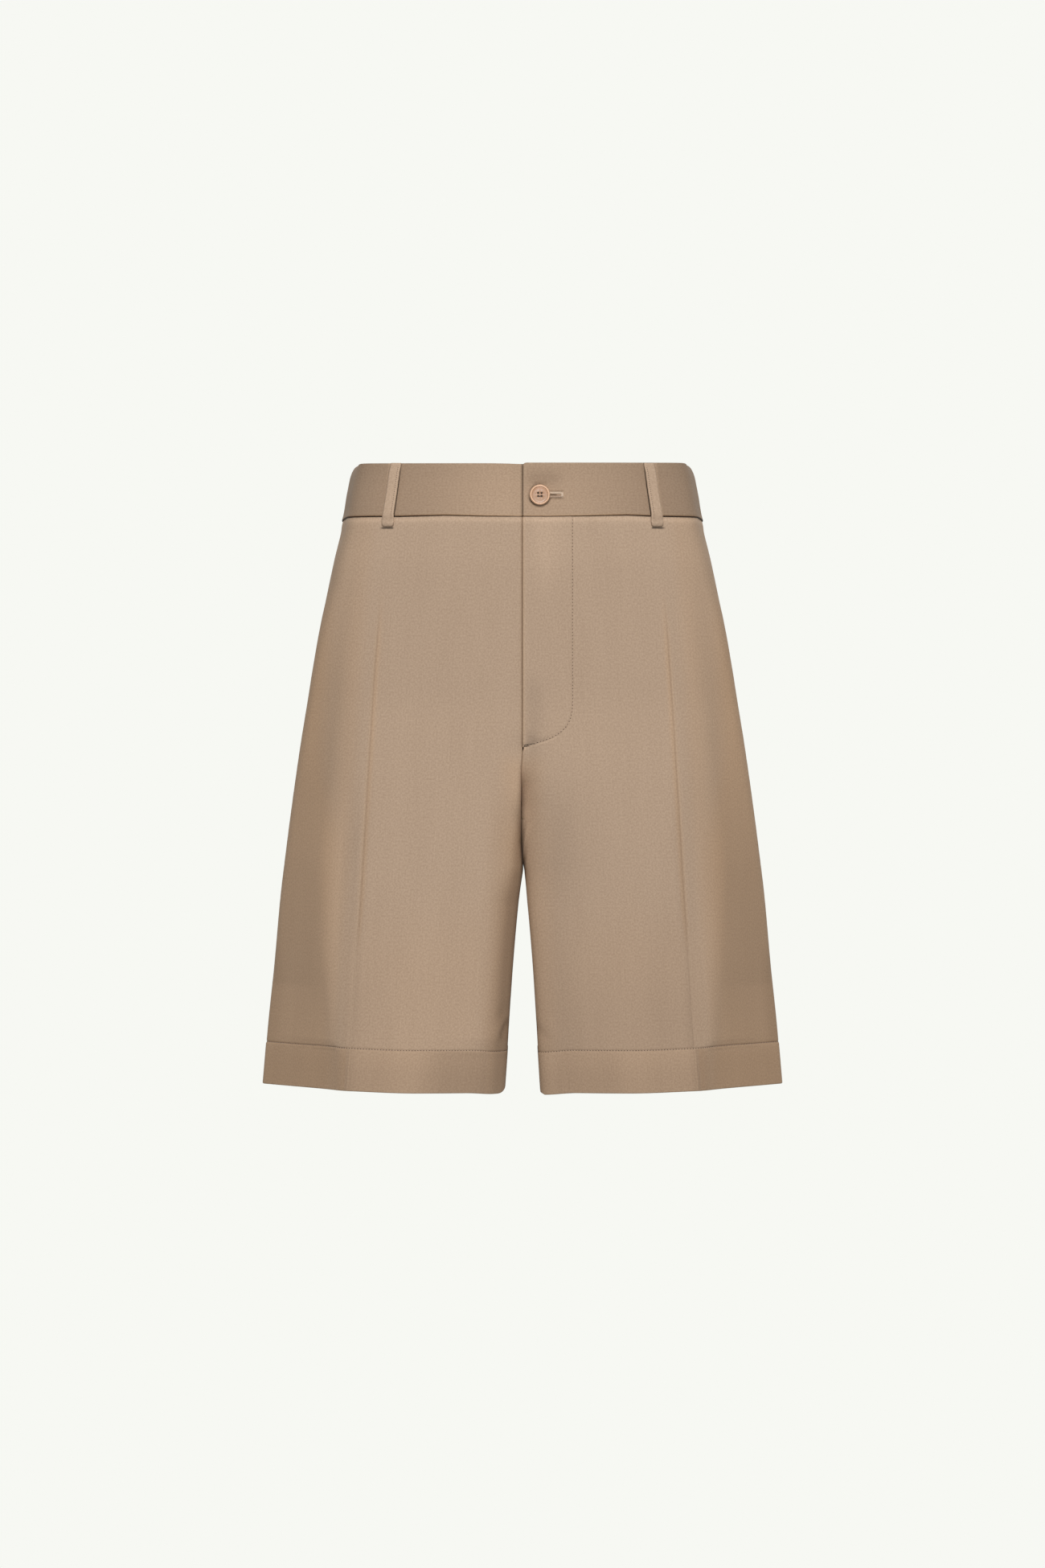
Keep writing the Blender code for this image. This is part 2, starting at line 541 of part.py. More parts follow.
def turned_disc(profile):
    """A closed solid turned about Y from (radius, y) pairs that start and end on the axis."""
    mesh_data = bmesh.new()
    verts = [mesh_data.verts.new((radius * MM, y * MM, 0.0)) for radius, y in profile]
    edges = [mesh_data.edges.new(pair) for pair in zip(verts, verts[1:])]
    bmesh.ops.spin(mesh_data, geom=verts + edges, axis=(0, 1, 0), cent=(0, 0, 0),
                   steps=ROUND_SIDES, angle=2 * math.pi)
    bmesh.ops.remove_doubles(mesh_data, verts=mesh_data.verts, dist=1e-6)
    bmesh.ops.recalc_face_normals(mesh_data, faces=mesh_data.faces)
    return mesh_data


def button_seat():
    """y of the waistband's outer face under the button."""
    point = face_points("front", np.array([BUTTON_X]), np.array([BUTTON_Z]))[0]
    return point[1] - BAND_PROUD


def quarter_outlines():
    """Outlines in (x, z) of a quarter of the button's dish, and of the hole within it."""
    angle = np.linspace(0.0, math.pi / 2, ROUND_SIDES // 4 + 1)
    edge = np.linspace(DISH_R, 0.0, 4)[1:]
    dish = np.concatenate([DISH_R * np.stack([np.cos(angle), np.sin(angle)], axis=-1),
                           np.stack([0.0 * edge, edge], axis=-1),
                           np.stack([edge[::-1], 0.0 * edge], axis=-1)[1:]])
    away = dish - HOLE_PITCH / 2
    hole = HOLE_PITCH / 2 + HOLE_R * away / np.linalg.norm(away, axis=-1, keepdims=True)
    return dish, hole


def bridge(mesh_data, first, second):
    """Faces between two closed loops of as many points each."""
    loops = [[mesh_data.verts.new(point) for point in loop] for loop in (first, second)]
    count = len(first)
    for i in range(count):
        j = (i + 1) % count
        mesh_data.faces.new((loops[0][i], loops[0][j], loops[1][j], loops[1][i]))


def make_button(material):
    """A round button with a raised rim, a dished middle and four holes."""
    front = -BUTTON_THICK
    rim = [(DISH_R, front + 0.9), (6.5, front + 0.6), (6.9, front), (7.5, front + 0.1),
           (BUTTON_R, front + 0.9), (BUTTON_R, -0.9), (BUTTON_R - 0.9, 0.0), (DISH_R, 0.0)]
    mesh_data = bmesh.new()
    dish, hole = quarter_outlines()
    for sign_x in (-1, 1):
        for sign_z in (-1, 1):
            loops = []
            back, face = rim[-1][1], rim[0][1]
            for outline, y in ((hole, back), (dish, back), (dish, face), (hole, face)):
                loops.append([(sign_x * x * MM, y * MM, sign_z * z * MM) for x, z in outline])
            bridge(mesh_data, loops[0], loops[1])
            bridge(mesh_data, loops[2], loops[3])
            bridge(mesh_data, loops[3], loops[0])
    turns = [2 * math.pi * i / ROUND_SIDES for i in range(ROUND_SIDES)]
    rings = [[(radius * math.cos(t) * MM, y * MM, radius * math.sin(t) * MM) for t in turns]
             for radius, y in rim]
    for first, second in zip(rings, rings[1:]):
        bridge(mesh_data, first, second)
    bmesh.ops.remove_doubles(mesh_data, verts=mesh_data.verts, dist=1e-6)
    bmesh.ops.triangulate(mesh_data, faces=mesh_data.faces)
    bmesh.ops.recalc_face_normals(mesh_data, faces=mesh_data.faces)
    button = add_object("button", mesh_data, material)
    button.location = (BUTTON_X * MM, (button_seat() - BUTTON_LIFT) * MM, BUTTON_Z * MM)


def make_button_thread(material):
    """The thread shank from the underlap, through the buttonhole, to the button."""
    seat = button_seat()
    back = seat + BAND_WALL
    front = seat - BUTTON_LIFT + SEAM_GAP
    profile = [(0.0, front), (SHANK_R, front), (SHANK_R, back), (0.0, back)]
    thread = add_object("button_thread", turned_disc(profile), material)
    thread.location = (BUTTON_X * MM, 0.0, BUTTON_Z * MM)


def main():
    for old in list(bpy.data.objects):
        bpy.data.objects.remove(old, do_unlink=True)
    cloth = make_material("cloth", CLOTH_COLOUR, 0.9)
    horn = make_material("button", BUTTON_COLOUR, 0.35)
    thread = make_material("thread", THREAD_COLOUR, 0.8)

    for face in ("front", "back"):
        make_panel(face + "_left", face, False, cloth)
        make_panel(face + "_right", face, True, cloth)
    make_lapped_band(cloth)
    make_underlap_band(cloth)
    make_fly_shield(cloth)
    make_belt_loop("belt_loop_front_left", "front", front_loop_line, False, cloth)
    make_belt_loop("belt_loop_front_right", "front", front_loop_line, True, cloth)
    make_belt_loop("belt_loop_back_left", "back", back_loop_line, False, cloth)
    make_belt_loop("belt_loop_back_right", "back", back_loop_line, True, cloth)
    make_belt_loop("belt_loop_centre_back", "back", centre_line, False, cloth)
    make_button(horn)
    make_button_thread(thread)


main()
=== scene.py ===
import math

import bmesh
import bpy
import numpy as np
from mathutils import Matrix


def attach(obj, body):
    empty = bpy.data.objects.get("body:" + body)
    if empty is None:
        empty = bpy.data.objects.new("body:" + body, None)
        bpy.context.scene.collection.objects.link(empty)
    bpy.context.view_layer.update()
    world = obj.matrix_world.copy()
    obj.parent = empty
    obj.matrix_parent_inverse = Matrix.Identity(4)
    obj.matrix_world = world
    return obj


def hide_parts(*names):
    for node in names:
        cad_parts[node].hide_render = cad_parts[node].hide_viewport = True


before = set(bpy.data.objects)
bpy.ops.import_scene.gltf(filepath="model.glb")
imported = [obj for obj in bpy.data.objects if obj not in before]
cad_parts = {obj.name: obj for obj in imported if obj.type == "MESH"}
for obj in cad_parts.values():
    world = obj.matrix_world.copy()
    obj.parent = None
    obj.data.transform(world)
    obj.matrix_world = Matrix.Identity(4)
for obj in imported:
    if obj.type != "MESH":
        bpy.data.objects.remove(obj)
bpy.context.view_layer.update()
print("frame loaded")

mm = 0.001


# ---- the form of the cloth ----
form = {
    "bandTop": 21.2, "waistSeam": -21.2,    # edges of the waistband at the centre front
    "flyEnd": -206.5, "seatEnd": -195.0,    # where the middle seams start to turn under
    "forkZ": -264.0, "forkY": 12.0,         # where the four panels meet
    "hemStitch": -449.2, "hemZ": -483.7,
    "topRise": 3.0, "seamRise": 0.8,        # how much higher the band's edges sit at the sides
    "riseFrom": -90.0, "riseDepth": 101.0,  # the rise starts at this height, and goes by y
    "hemRise": 2.6, "hemDip": 2.0,          # how far each hem rises outside and dips inside
    "hemRiseX": (85.0, 165.0), "hemDipWidth": 30.0, "hemRiseZ": (-380.0, -445.0),
    "cornerRound": {"left": 3.0, "right": 5.0, "back": 5.0},    # each hem's inner corner
    "cornerZ": -445.0, "cornerHeight": 39.0,
    "dropPower": 2.2, "bowReach": 95.0,
    "sideDepth": 3.5, "innerRound": 7.0,    # the shortest turn into a side or an inner seam
    "seamGap": 0.15,                        # the solids stay apart by this at the middle seams
    "cloth": 1.2, "hemWall": 2.4,
}
# The half rings down the garment, in mm and degrees: where the side seam lies, then in front and
# behind how deep the middle stands, x of the crease, how far the cloth has fallen back by then
# and how steeply it falls.  innerX is the leg's inner seam and backRound the width rounded
# beside it.
ringNames = ("height", "halfWidth", "sideY",
             "frontDepth", "frontCrease", "frontDrop", "frontTurn", "innerX",
             "backDepth", "backCrease", "backDrop", "backTurn", "backRound")
ringTable = np.array((
    ( 30.0, 134.5, 2.0, 100.4, 100.2,  8.0,  9.0,  .15,  98.0,  91.0, 10.0, 12.0,  0.0),
    ( 21.2, 138.3, 2.0, 100.6, 101.5,  8.0,  9.0,  .15,  98.5,  92.0, 10.0, 12.0,  0.0),
    (  0.0, 144.6, 2.0, 101.0, 104.5,  8.0,  9.0,  .15,  99.5,  94.0, 10.0, 12.0,  0.0),
    (-21.2, 147.0, 2.0, 101.3, 107.3,  8.0,  9.5,  .15, 101.5,  96.5, 11.0, 13.0,  0.0),
    (-54.0, 154.6, 3.0, 103.0, 111.3,  8.5, 11.0,  .15, 111.0, 100.0, 13.0, 16.0,  0.0),
    (-107., 165.0, 5.0, 105.5, 115.6,  8.0, 12.0,  .15, 126.0, 103.0, 16.0, 19.0,  0.0),
    (-160., 172.8, 6.0, 106.8, 119.4,  6.5, 12.5,  .15, 135.0, 106.0, 17.0, 20.0,  0.0),
    (-206., 180.4, 5.5, 106.5, 122.3,  5.0, 13.0,  .15, 134.5, 109.0, 14.0, 20.0,  1.0),
    (-264., 189.2, 4.0, 104.3, 126.0,  3.0, 13.5,  .15, 126.0, 112.5,  8.0, 19.0, 10.0),
    (-300., 194.2, 3.5, 102.3, 128.2,  2.0, 14.0,  .15, 119.5, 115.0,  5.0, 18.0, 18.0),
    (-318., 196.7, 3.0, 101.3, 129.3,  1.5, 14.5,  2.3, 116.0, 117.0,  4.0, 18.0, 22.0),
    (-371., 202.4, 2.5,  98.3, 133.0,  0.5, 16.0,  7.3, 105.0, 121.0,  2.0, 19.0, 28.0),
    (-424., 207.9, 2.0,  95.3, 136.3, -0.3, 18.0,  11.,  95.0, 125.0,  1.0, 20.0, 32.0),
    (-484., 213.2, 2.0,  92.0, 140.6, -1.0, 22.0, 14.6,  86.0, 129.0,  0.0, 22.0, 35.0),
))[::-1]
# the outer side of each half ring: how steep its flat middle stands in front and behind, how
# far past the crease the cloth runs on before it turns there, how softly it turns there, how
# softly it turns into the side, and how far the side has come in by then
sideTurns = {
    "height": (-484.0, -452.0, -444.0, -380.0, -300.0, -250.0,
               -200.0, -150.0, -100.0, -60.0, -21.0, 21.0),
    "front": (60.0, 60.0, 60.0, 59.0, 56.0, 52.0, 46.0, 41.0, 33.0, 28.0, 32.0, 36.0),
    "back": (60.0, 60.0, 60.0, 60.0, 56.0, 52.0, 48.0, 44.0, 40.0, 38.0, 40.0, 42.0),
    "run": (7.0, 8.0, 13.0, 20.0, 25.0, 23.0, 20.0, 20.0, 19.0, 17.0, 14.0, 14.0),
    "round": (5.0, 6.0, 12.0, 18.0, 22.0, 20.0, 16.0, 12.0, 9.0, 10.0, 14.0, 14.0),
    "sideRound": (7.0, 7.0, 7.0, 7.0, 7.0, 8.0, 8.0, 9.0, 10.0, 14.0, 22.0, 22.0),
    "sideIn": (0.0, 0.0, 0.0, 0.0, 0.0, 0.0, 0.0, 0.3, 2.4, 4.6, 7.0, 7.0),
}
# the inner side: how wide the front of each leg is rounded, and how far it bends back before
# that, within a reach of the middle
innerTurns = {
    "height": (-484.0, -455.0, -440.0, -330.0, -304.0, -278.0, -252.0, -230.0, -212.0, -206.0),
    "leftWidth": (9.0, 9.0, 9.0, 10.0, 13.0, 20.0, 28.0, 24.0, 12.0, 0.0),
    "rightWidth": (28.0, 28.0, 27.0, 27.0, 18.0, 10.0, 5.0, 3.0, 1.0, 0.0),
    "leftBow": (20.0, 19.0, 17.0, 15.0, 13.0, 9.0, 4.0, 1.0, 0.0, 0.0),
    "rightBow": (14.0, 11.0, 3.0, 1.0, 0.0, 0.0, 0.0, 0.0, 0.0, 0.0),
}
innerTilt = {"left": 46.0, "right": 68.0, "back": 70.0}
# the waist seam isn't quite straight in front: how much higher it runs at each x
waistWave = {"x": (-115, -98, -62, -30, 0, 20, 55, 84, 104, 120),
             "up": (0, -0.1, 0.8, 0.1, -0.1, -0.2, 0.4, 1.0, 0.2, 0), "height": 12.0}
# the seam below the fly wanders a little before the legs part
middleWander = {"z": (-484.0, -330.0, -304.0, -294.0, -282.0, -258.0, -240.0, -224.0, -208.0, -200.0),
                "shift": (0.3, 0.4, 1.0, -0.2, -1.2, -1.3, -1.0, -1.0, 0.0, 0.0), "width": 16.0}


def smoothStep(value):
    # 0 below 0, 1 above 1, and 3t^2 - 2t^3 between
    value = np.clip(value, 0.0, 1.0)
    return value * value * (3.0 - 2.0 * value)


def ramp(value, start, end):
    # a smooth step from 0 where the value is at the start to 1 where it is at the end
    return smoothStep((value - start) / (end - start))


def bell(value, middle, width):
    # exp(-((value - middle) / width)^2), which is 1 at the middle
    return np.exp(-((value - middle) / width) ** 2)


def fade(value, length):
    # exp(-value / length)
    return np.exp(-value / length)


def curveThrough(knots, values, places):
    # the cubic curve through values at knots, with the slopes that the values have there
    slopes = np.gradient(values, knots, axis=0)
    low = np.clip(np.searchsorted(knots, places) - 1, 0, len(knots) - 2)
    span = knots[low + 1] - knots[low]
    t = np.clip((places - knots[low]) / span, 0.0, 1.0)
    if values.ndim > 1:
        span, t = span[..., None], t[..., None]
    return ((1 + 2 * t) * (1 - t) ** 2 * values[low] + t * (1 - t) ** 2 * span * slopes[low]
            + t * t * (3 - 2 * t) * values[low + 1] + t * t * (t - 1) * span * slopes[low + 1])


def ringSize(name, height):
    return curveThrough(ringTable[:, 0], ringTable[:, ringNames.index(name)], height)


def pair(x, depth):
    return np.stack(np.broadcast_arrays(x, depth), axis=-1)


def roundedWalk(corners, rounds, run):
    # points along straight legs from corner to corner, evenly by run from 0 to 1; within its
    # round of an inner corner the walk follows a parabola, (1-t)^2 a + 2t(1-t) corner + t^2 b
    legs = [end - start for start, end in zip(corners, corners[1:])]
    lengths = [np.linalg.norm(leg, axis=-1) + 1e-6 for leg in legs]
    ways = [leg / length[..., None] for leg, length in zip(legs, lengths)]
    ends = np.cumsum(lengths, axis=0)
    walked = np.clip(run, 0.0, 1.0) * ends[-1]
    result = corners[0] + ways[0] * walked[..., None]
    for k in range(1, len(legs)):
        result = np.where((walked > ends[k - 1])[..., None],
                          corners[k] + ways[k] * (walked - ends[k - 1])[..., None], result)
    for k, size in enumerate(rounds):
        size = np.maximum(size, 1e-6)
        t = np.clip((walked - ends[k] + size) / (2.0 * size), 0.0, 1.0)[..., None]
        start = corners[k + 1] - ways[k] * size[..., None]
        end = corners[k + 1] + ways[k + 1] * size[..., None]
        curve = (1 - t) ** 2 * start + 2 * t * (1 - t) * corners[k + 1] + t * t * end
        result = np.where((np.abs(walked - ends[k]) < size)[..., None], curve, result)
    return result


def ringPoints(face, step, height, side="left"):
    # The half ring at a height: step 0 is the side seam, 1 the crease, 2 the middle or inner
    # seam.  Beyond the crease lies a bend and a flat slope to the side; within it a flat face
    # and a rounded inner edge.  Past step 2 the flat face of the front runs on over the middle.
    outward = -1.0 if face == "front" else 1.0
    step, height = np.broadcast_arrays(step, height)
    sideX, sideDepth = ringSize("halfWidth", height), outward * ringSize("sideY", height)
    depth0, drop = ringSize(face + "Depth", height), ringSize(face + "Drop", height)
    turn, creaseX = np.radians(ringSize(face + "Turn", height)), ringSize(face + "Crease", height)
    tilt, ahead, softness, sideRound, sideIn = (
        np.interp(height, sideTurns["height"], sideTurns[name])
        for name in (face, "run", "round", "sideRound", "sideIn"))
    innerX = np.maximum(ringSize("innerX", height) - form["seamGap"], 0.0)
    creaseDepth = depth0 - drop

    turnX, turnDepth = creaseX + ahead * np.cos(turn), creaseDepth - ahead * np.sin(turn)
    kneeX = sideX - sideIn
    kneeDepth = turnDepth - (kneeX - turnX) * np.tan(np.radians(tilt))
    kneeDepth = np.maximum(kneeDepth, sideDepth + form["sideDepth"])
    room = np.hypot(kneeX - turnX, turnDepth - kneeDepth)
    outer = roundedWalk((pair(sideX, sideDepth), pair(kneeX, kneeDepth), pair(turnX, turnDepth),
                         pair(creaseX, creaseDepth)),
                        (np.minimum(np.minimum(sideRound, kneeDepth - sideDepth), 0.45 * room),
                         np.minimum(np.minimum(softness, ahead), 0.5 * room)), step)
    # u (1 - u)^2 makes the straight side bulge, level at the side seam
    share = np.clip((outer[..., 1] - sideDepth) / (kneeDepth - sideDepth), 0.0, 1.0)
    outer[..., 0] += sideIn * share * (1.0 - share) ** 2

    turnStart = form["flyEnd"] if face == "front" else form["seatEnd"]
    above = height > turnStart
    sine = np.clip((turnStart - height) / (turnStart - form["forkZ"]), 0.0, 1.0)
    seamDepth = depth0 - (depth0 - outward * form["forkY"]) * (1.0 - np.sqrt(1.0 - sine * sine))
    if face == "front":
        width, bow = (np.interp(height, innerTurns["height"], innerTurns[side + size])
                      for size in ("Width", "Bow"))
        steep = innerTilt[side]
    else:
        width, bow = np.maximum(ringSize("backRound", height), 0.0), 0.0 * height
        steep = innerTilt["back"]
    innerX, width = np.where(above, 0.0, innerX), np.where(above, 0.0, width)
    flatEnd = innerX + width
    part = 0.5 * sine                   # this part of the steps lies on the rounded edge
    inside = np.maximum(step - 1.0, 0.0)
    t = inside / (1.0 - part)
    t = np.where(above, t, np.clip(t, 0.0, 1.0))
    flatX = creaseX - (creaseX - flatEnd) * t
    reach = form["bowReach"]
    bent = bow * (np.maximum(reach - np.abs(flatX), 0.0) / reach) ** 2
    flatDepth = depth0 - drop * np.abs(1.0 - t) ** form["dropPower"] - bent

    startDepth = depth0 - bow * ((reach - flatEnd) / reach) ** 2
    slope = 2.0 * bow * (reach - flatEnd) / reach ** 2
    bendX, bendDepth = innerX + 0.5 * width, startDepth - slope * 0.5 * width
    fall = np.maximum(startDepth - seamDepth, 0.0)
    lowDepth = bendDepth - 0.5 * width * np.tan(np.radians(steep))
    lowDepth = np.minimum(np.maximum(lowDepth, seamDepth + 0.1 * fall), bendDepth)
    room = np.hypot(0.5 * width, bendDepth - lowDepth)
    lowRound = np.minimum(np.minimum(0.2 * room, form["innerRound"]), lowDepth - seamDepth)
    inner = roundedWalk((pair(flatEnd, startDepth), pair(bendX, bendDepth), pair(innerX, lowDepth),
                         pair(innerX, seamDepth)),
                        (np.minimum(0.5 * width, 0.8 * room), lowRound),
                        (inside - 1.0 + part) / np.maximum(part, 1e-6))

    onRound = (inside > 1.0 - part) & ~above
    x = np.where(step <= 1.0, outer[..., 0], np.where(onRound, inner[..., 0], flatX))
    depth = np.where(step <= 1.0, outer[..., 1], np.where(onRound, inner[..., 1], flatDepth))
    y = outward * depth
    # the band's edges and the hems aren't level
    inBand = (height - form["waistSeam"]) / (form["bandTop"] - form["waistSeam"])
    rise = form["seamRise"] * ramp(height, form["riseFrom"], form["waistSeam"])
    rise = rise + (form["topRise"] - form["seamRise"]) * np.clip(inBand, 0.0, 1.0)
    rise = rise * (1.0 - np.clip(-y / form["riseDepth"], 0.0, 1.0) ** 2)
    hemRise = form["hemRise"] * ramp(x, *form["hemRiseX"])
    hemRise = hemRise - form["hemDip"] * ramp(x - innerX, form["hemDipWidth"], 0.0)
    rise = rise + hemRise * ramp(height, *form["hemRiseZ"])
    size = form["cornerRound"][side if face == "front" else "back"]
    corner = size - np.clip(x - innerX, 0.0, size)
    fall = size - np.sqrt(size ** 2 - corner ** 2)
    lowest = np.clip((form["cornerZ"] - height) / form["cornerHeight"], 0.0, 1.0)
    return np.stack([x, y, height + rise + fall * lowest ** 1.5], axis=-1)


def seamWave(x, y, height):
    wave = np.interp(x, waistWave["x"], waistWave["up"])
    return wave * bell(height, form["waistSeam"], waistWave["height"]) * (y < -60.0)


def gridNormals(points):
    # the cross product of the grid's two directions, at every point
    normal = np.cross(np.gradient(points, axis=1), np.gradient(points, axis=0))
    return normal / np.maximum(np.linalg.norm(normal, axis=-1, keepdims=True), 1e-12)


def outwardNormals(points, face):
    normal = gridNormals(points)
    outward = -1.0 if face == "front" else 1.0
    return normal * np.sign(np.mean(normal[..., 1]) * outward)


def runLength(points, axis):
    # distance walked along a grid's rows or columns, from the first point
    walked = np.cumsum(np.linalg.norm(np.diff(points, axis=axis), axis=-1), axis=axis)
    first = np.zeros_like(np.take(walked, [0], axis=axis))
    return np.concatenate([first, walked], axis=axis)


def roundEdge(distance, radius):
    # how far a rounded edge falls back, as a quarter circle within the radius
    inside = np.clip(radius - distance, 0.0, radius)
    return 0.85 * (radius - np.sqrt(radius * radius - inside * inside))


def spread(*stops):
    # values from stop to stop, where each (value, spacing) pair gives the spacing near it
    values = [np.array([stops[0][0]])]
    for (start, first), (end, last) in zip(stops, stops[1:]):
        count = max(int(math.ceil(2.0 * abs(end - start) / (first + last))), 1)
        t = np.linspace(0.0, 1.0, count + 1)[1:]
        grow = (last - first) / (last + first)
        values.append(start + (end - start) * t * (1.0 - grow + grow * t))
    return np.concatenate(values)


def ruleParts(rules, keys, places):
    # Each rule is an amount times its factors.  A factor is the name of a zone, or a shape with
    # its place and numbers, such as ("ramp", "height", start, end).
    shapes = {"ramp": ramp, "bell": bell, "fade": fade}
    parts = []
    for amount, *factors in (rule for key in keys for rule in rules.get(key, ())):
        part = amount * np.ones_like(places["height"])
        for factor in factors:
            if isinstance(factor, str):
                part = part * places[factor]
            else:
                part = part * shapes[factor[0]](places[factor[1]], *factor[2:])
        parts.append(part)
    return parts


# ---- putting surfaces into meshes ----
def addPiece(name, vertices, faces, material, weave=None, tone=None):
    # vertices in metres, faces as rows of four indices, weave as a (u, v) for each vertex,
    # tone as how much lighter or darker the painted shade and light make each vertex, in red, green and blue
    mesh = bpy.data.meshes.new(name)
    mesh.from_pydata(vertices.reshape(-1, 3).tolist(), [], faces.reshape(-1, 4).tolist())
    if weave is not None:
        corners = np.zeros(len(mesh.loops), np.int32)
        mesh.loops.foreach_get("vertex_index", corners)
        layer = mesh.uv_layers.new(name="weave")
        layer.data.foreach_set("uv", weave.reshape(-1, 2)[corners].astype(np.float32).ravel())
    if tone is not None:
        layer = mesh.attributes.new("tone", "FLOAT_VECTOR", "POINT")
        layer.data.foreach_set("vector", tone.astype(np.float32).ravel())
    working = bmesh.new()
    working.from_mesh(mesh)
    loose = [v for v in working.verts if not v.link_faces]
    bmesh.ops.delete(working, geom=loose, context="VERTS")
    bmesh.ops.recalc_face_normals(working, faces=working.faces)
    working.to_mesh(mesh)
    working.free()
    mesh.materials.append(material)
    mesh.shade_smooth()
    piece = bpy.data.objects.new(name, mesh)
    bpy.context.scene.collection.objects.link(piece)
    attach(piece, "root")
    return piece


def shellFaces(rows, columns, slit=None):
    # quads of two grids, one behind the other, and the rim that joins them round every edge
    index = np.arange(rows * columns).reshape(rows, columns)
    kept = np.ones((rows - 1, columns - 1), bool)
    if slit is not None:
        kept[slit] = False
    front = np.stack([index[:-1, :-1], index[:-1, 1:], index[1:, 1:], index[1:, :-1]], axis=-1)[kept]
    faces = [front, front[:, ::-1] + rows * columns]
    framed = np.pad(kept, 1)
    for beside, first, second in (((0, 1), (0, 0), (0, 1)), ((2, 1), (1, 1), (1, 0)),
                                  ((1, 0), (1, 0), (0, 0)), ((1, 2), (0, 1), (1, 1))):
        rim = kept & ~framed[beside[0]:beside[0] + rows - 1, beside[1]:beside[1] + columns - 1]
        a = index[first[0]:first[0] + rows - 1, first[1]:first[1] + columns - 1][rim]
        b = index[second[0]:second[0] + rows - 1, second[1]:second[1] + columns - 1][rim]
        faces.append(np.stack([b, a, a + rows * columns, b + rows * columns], axis=-1))
    return np.concatenate(faces)


def addCloth(name, outer, inner, weave, tone=0.0, slit=None):
    # two faces of cloth joined round their edges, in the place of the solid of that name
    vertices = np.concatenate([outer.reshape(-1, 3), inner.reshape(-1, 3)]) * mm
    faces = shellFaces(outer.shape[0], outer.shape[1], slit)
    both = np.concatenate([weave.reshape(-1, 2)] * 2) * mm
    shown = np.broadcast_to(tone, outer.shape).reshape(-1, 3)
    piece = addPiece(name + "_cloth", vertices, faces, clothFinish, both,
                     np.concatenate([shown, 0.0 * shown]))
    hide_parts(name)
    return piece


def tinted(tone, warmth=0.0):
    # painted shade and light for red, green and blue, where full warmth is a tenth more red and less blue
    tone, warmth = np.broadcast_arrays(tone, warmth)
    tint = np.array((0.10, 0.015, -0.095))
    return np.maximum(tone[..., None] + warmth[..., None] * tint, -0.95)


# ---- finishes ----
twill = {
    "colour": (0.475, 0.345, 0.245, 1.0), "shade": (0.385, 0.272, 0.188, 1.0),
    "linesPerMetre": 1750.0, "lineAngle": 62.0,     # fine diagonal lines of the twill
    # each noise: how often it changes across and down the cloth, and its detail
    "yarns": ((900.0, 22.0, 1), 3.0), "bands": ((45.0, 9.0, 1), 3.0), "grain": ((760.0, 620.0, 1), 2.0),
    "relief": {"lines": 0.55, "yarns": 0.5, "grain": 0.5},
    "mottle": {"yarns": 0.4, "bands": 0.35, "grain": 2.0, "lines": 0.30}, "mottleRange": (1.12, 1.93),
    "bump": 0.00007, "roughness": 0.9, "sheen": 0.06, "sheenTint": (0.8, 0.6, 0.45, 1.0),
}
# each thread's colour and roughness: buttonhole_thread is painted lighter where the welts catch the light,
# and stitch_holes is near-black painted shade for the needle holes and the button's holes, also worn by
# the button's thread and the fly's tacks
threads = {
    "sewing_thread": ((0.50, 0.365, 0.265, 1.0), 0.6),
    "buttonhole_thread": ((0.76, 0.61, 0.47, 1.0), 0.5),
    "stitch_holes": ((0.10, 0.066, 0.042, 1.0), 0.9),
}
resin = {"dark": (0.44, 0.235, 0.125, 1.0), "pale": (0.60, 0.335, 0.19, 1.0),
         "streaks": (90.0, 90.0, 240.0), "roughness": 0.34, "coat": 0.1}


def newMaterial(name):
    material = bpy.data.materials.new(name)
    material.use_nodes = True
    return material, material.node_tree


def fill(tree, node, inputs):
    # a value from another node is linked, and any other is set
    for key, value in inputs.items():
        if isinstance(value, bpy.types.NodeSocket):
            tree.links.new(value, node.inputs[key])
        else:
            node.inputs[key].default_value = value


def addNode(tree, kind, output, inputs, **settings):
    node = tree.nodes.new("ShaderNode" + kind)
    for key, value in settings.items():
        setattr(node, key, value)
    fill(tree, node, inputs)
    return node.outputs[output]


def weighted(tree, values, weights):
    # the sum of each value times its weight
    total = None
    for name, weight in weights.items():
        part = addNode(tree, "Math", 0, {0: values[name], 1: weight}, operation="MULTIPLY")
        total = part if total is None else addNode(tree, "Math", 0, {0: total, 1: part}, operation="ADD")
    return total


def mixed(tree, first, second, factor):
    return addNode(tree, "Mix", "Result", {"A": first, "B": second, "Factor": factor}, data_type="RGBA")


def toned(tree, colour):
    # the colour times one more than the tone at each vertex, its painted shade and light
    tone = addNode(tree, "Attribute", "Vector", {}, attribute_name="tone")
    return addNode(tree, "VectorMath", 0, {0: colour, 1: tone, 2: colour}, operation="MULTIPLY_ADD")


def addBump(tree, height, distance):
    return addNode(tree, "Bump", "Normal", {"Distance": distance, "Height": height})


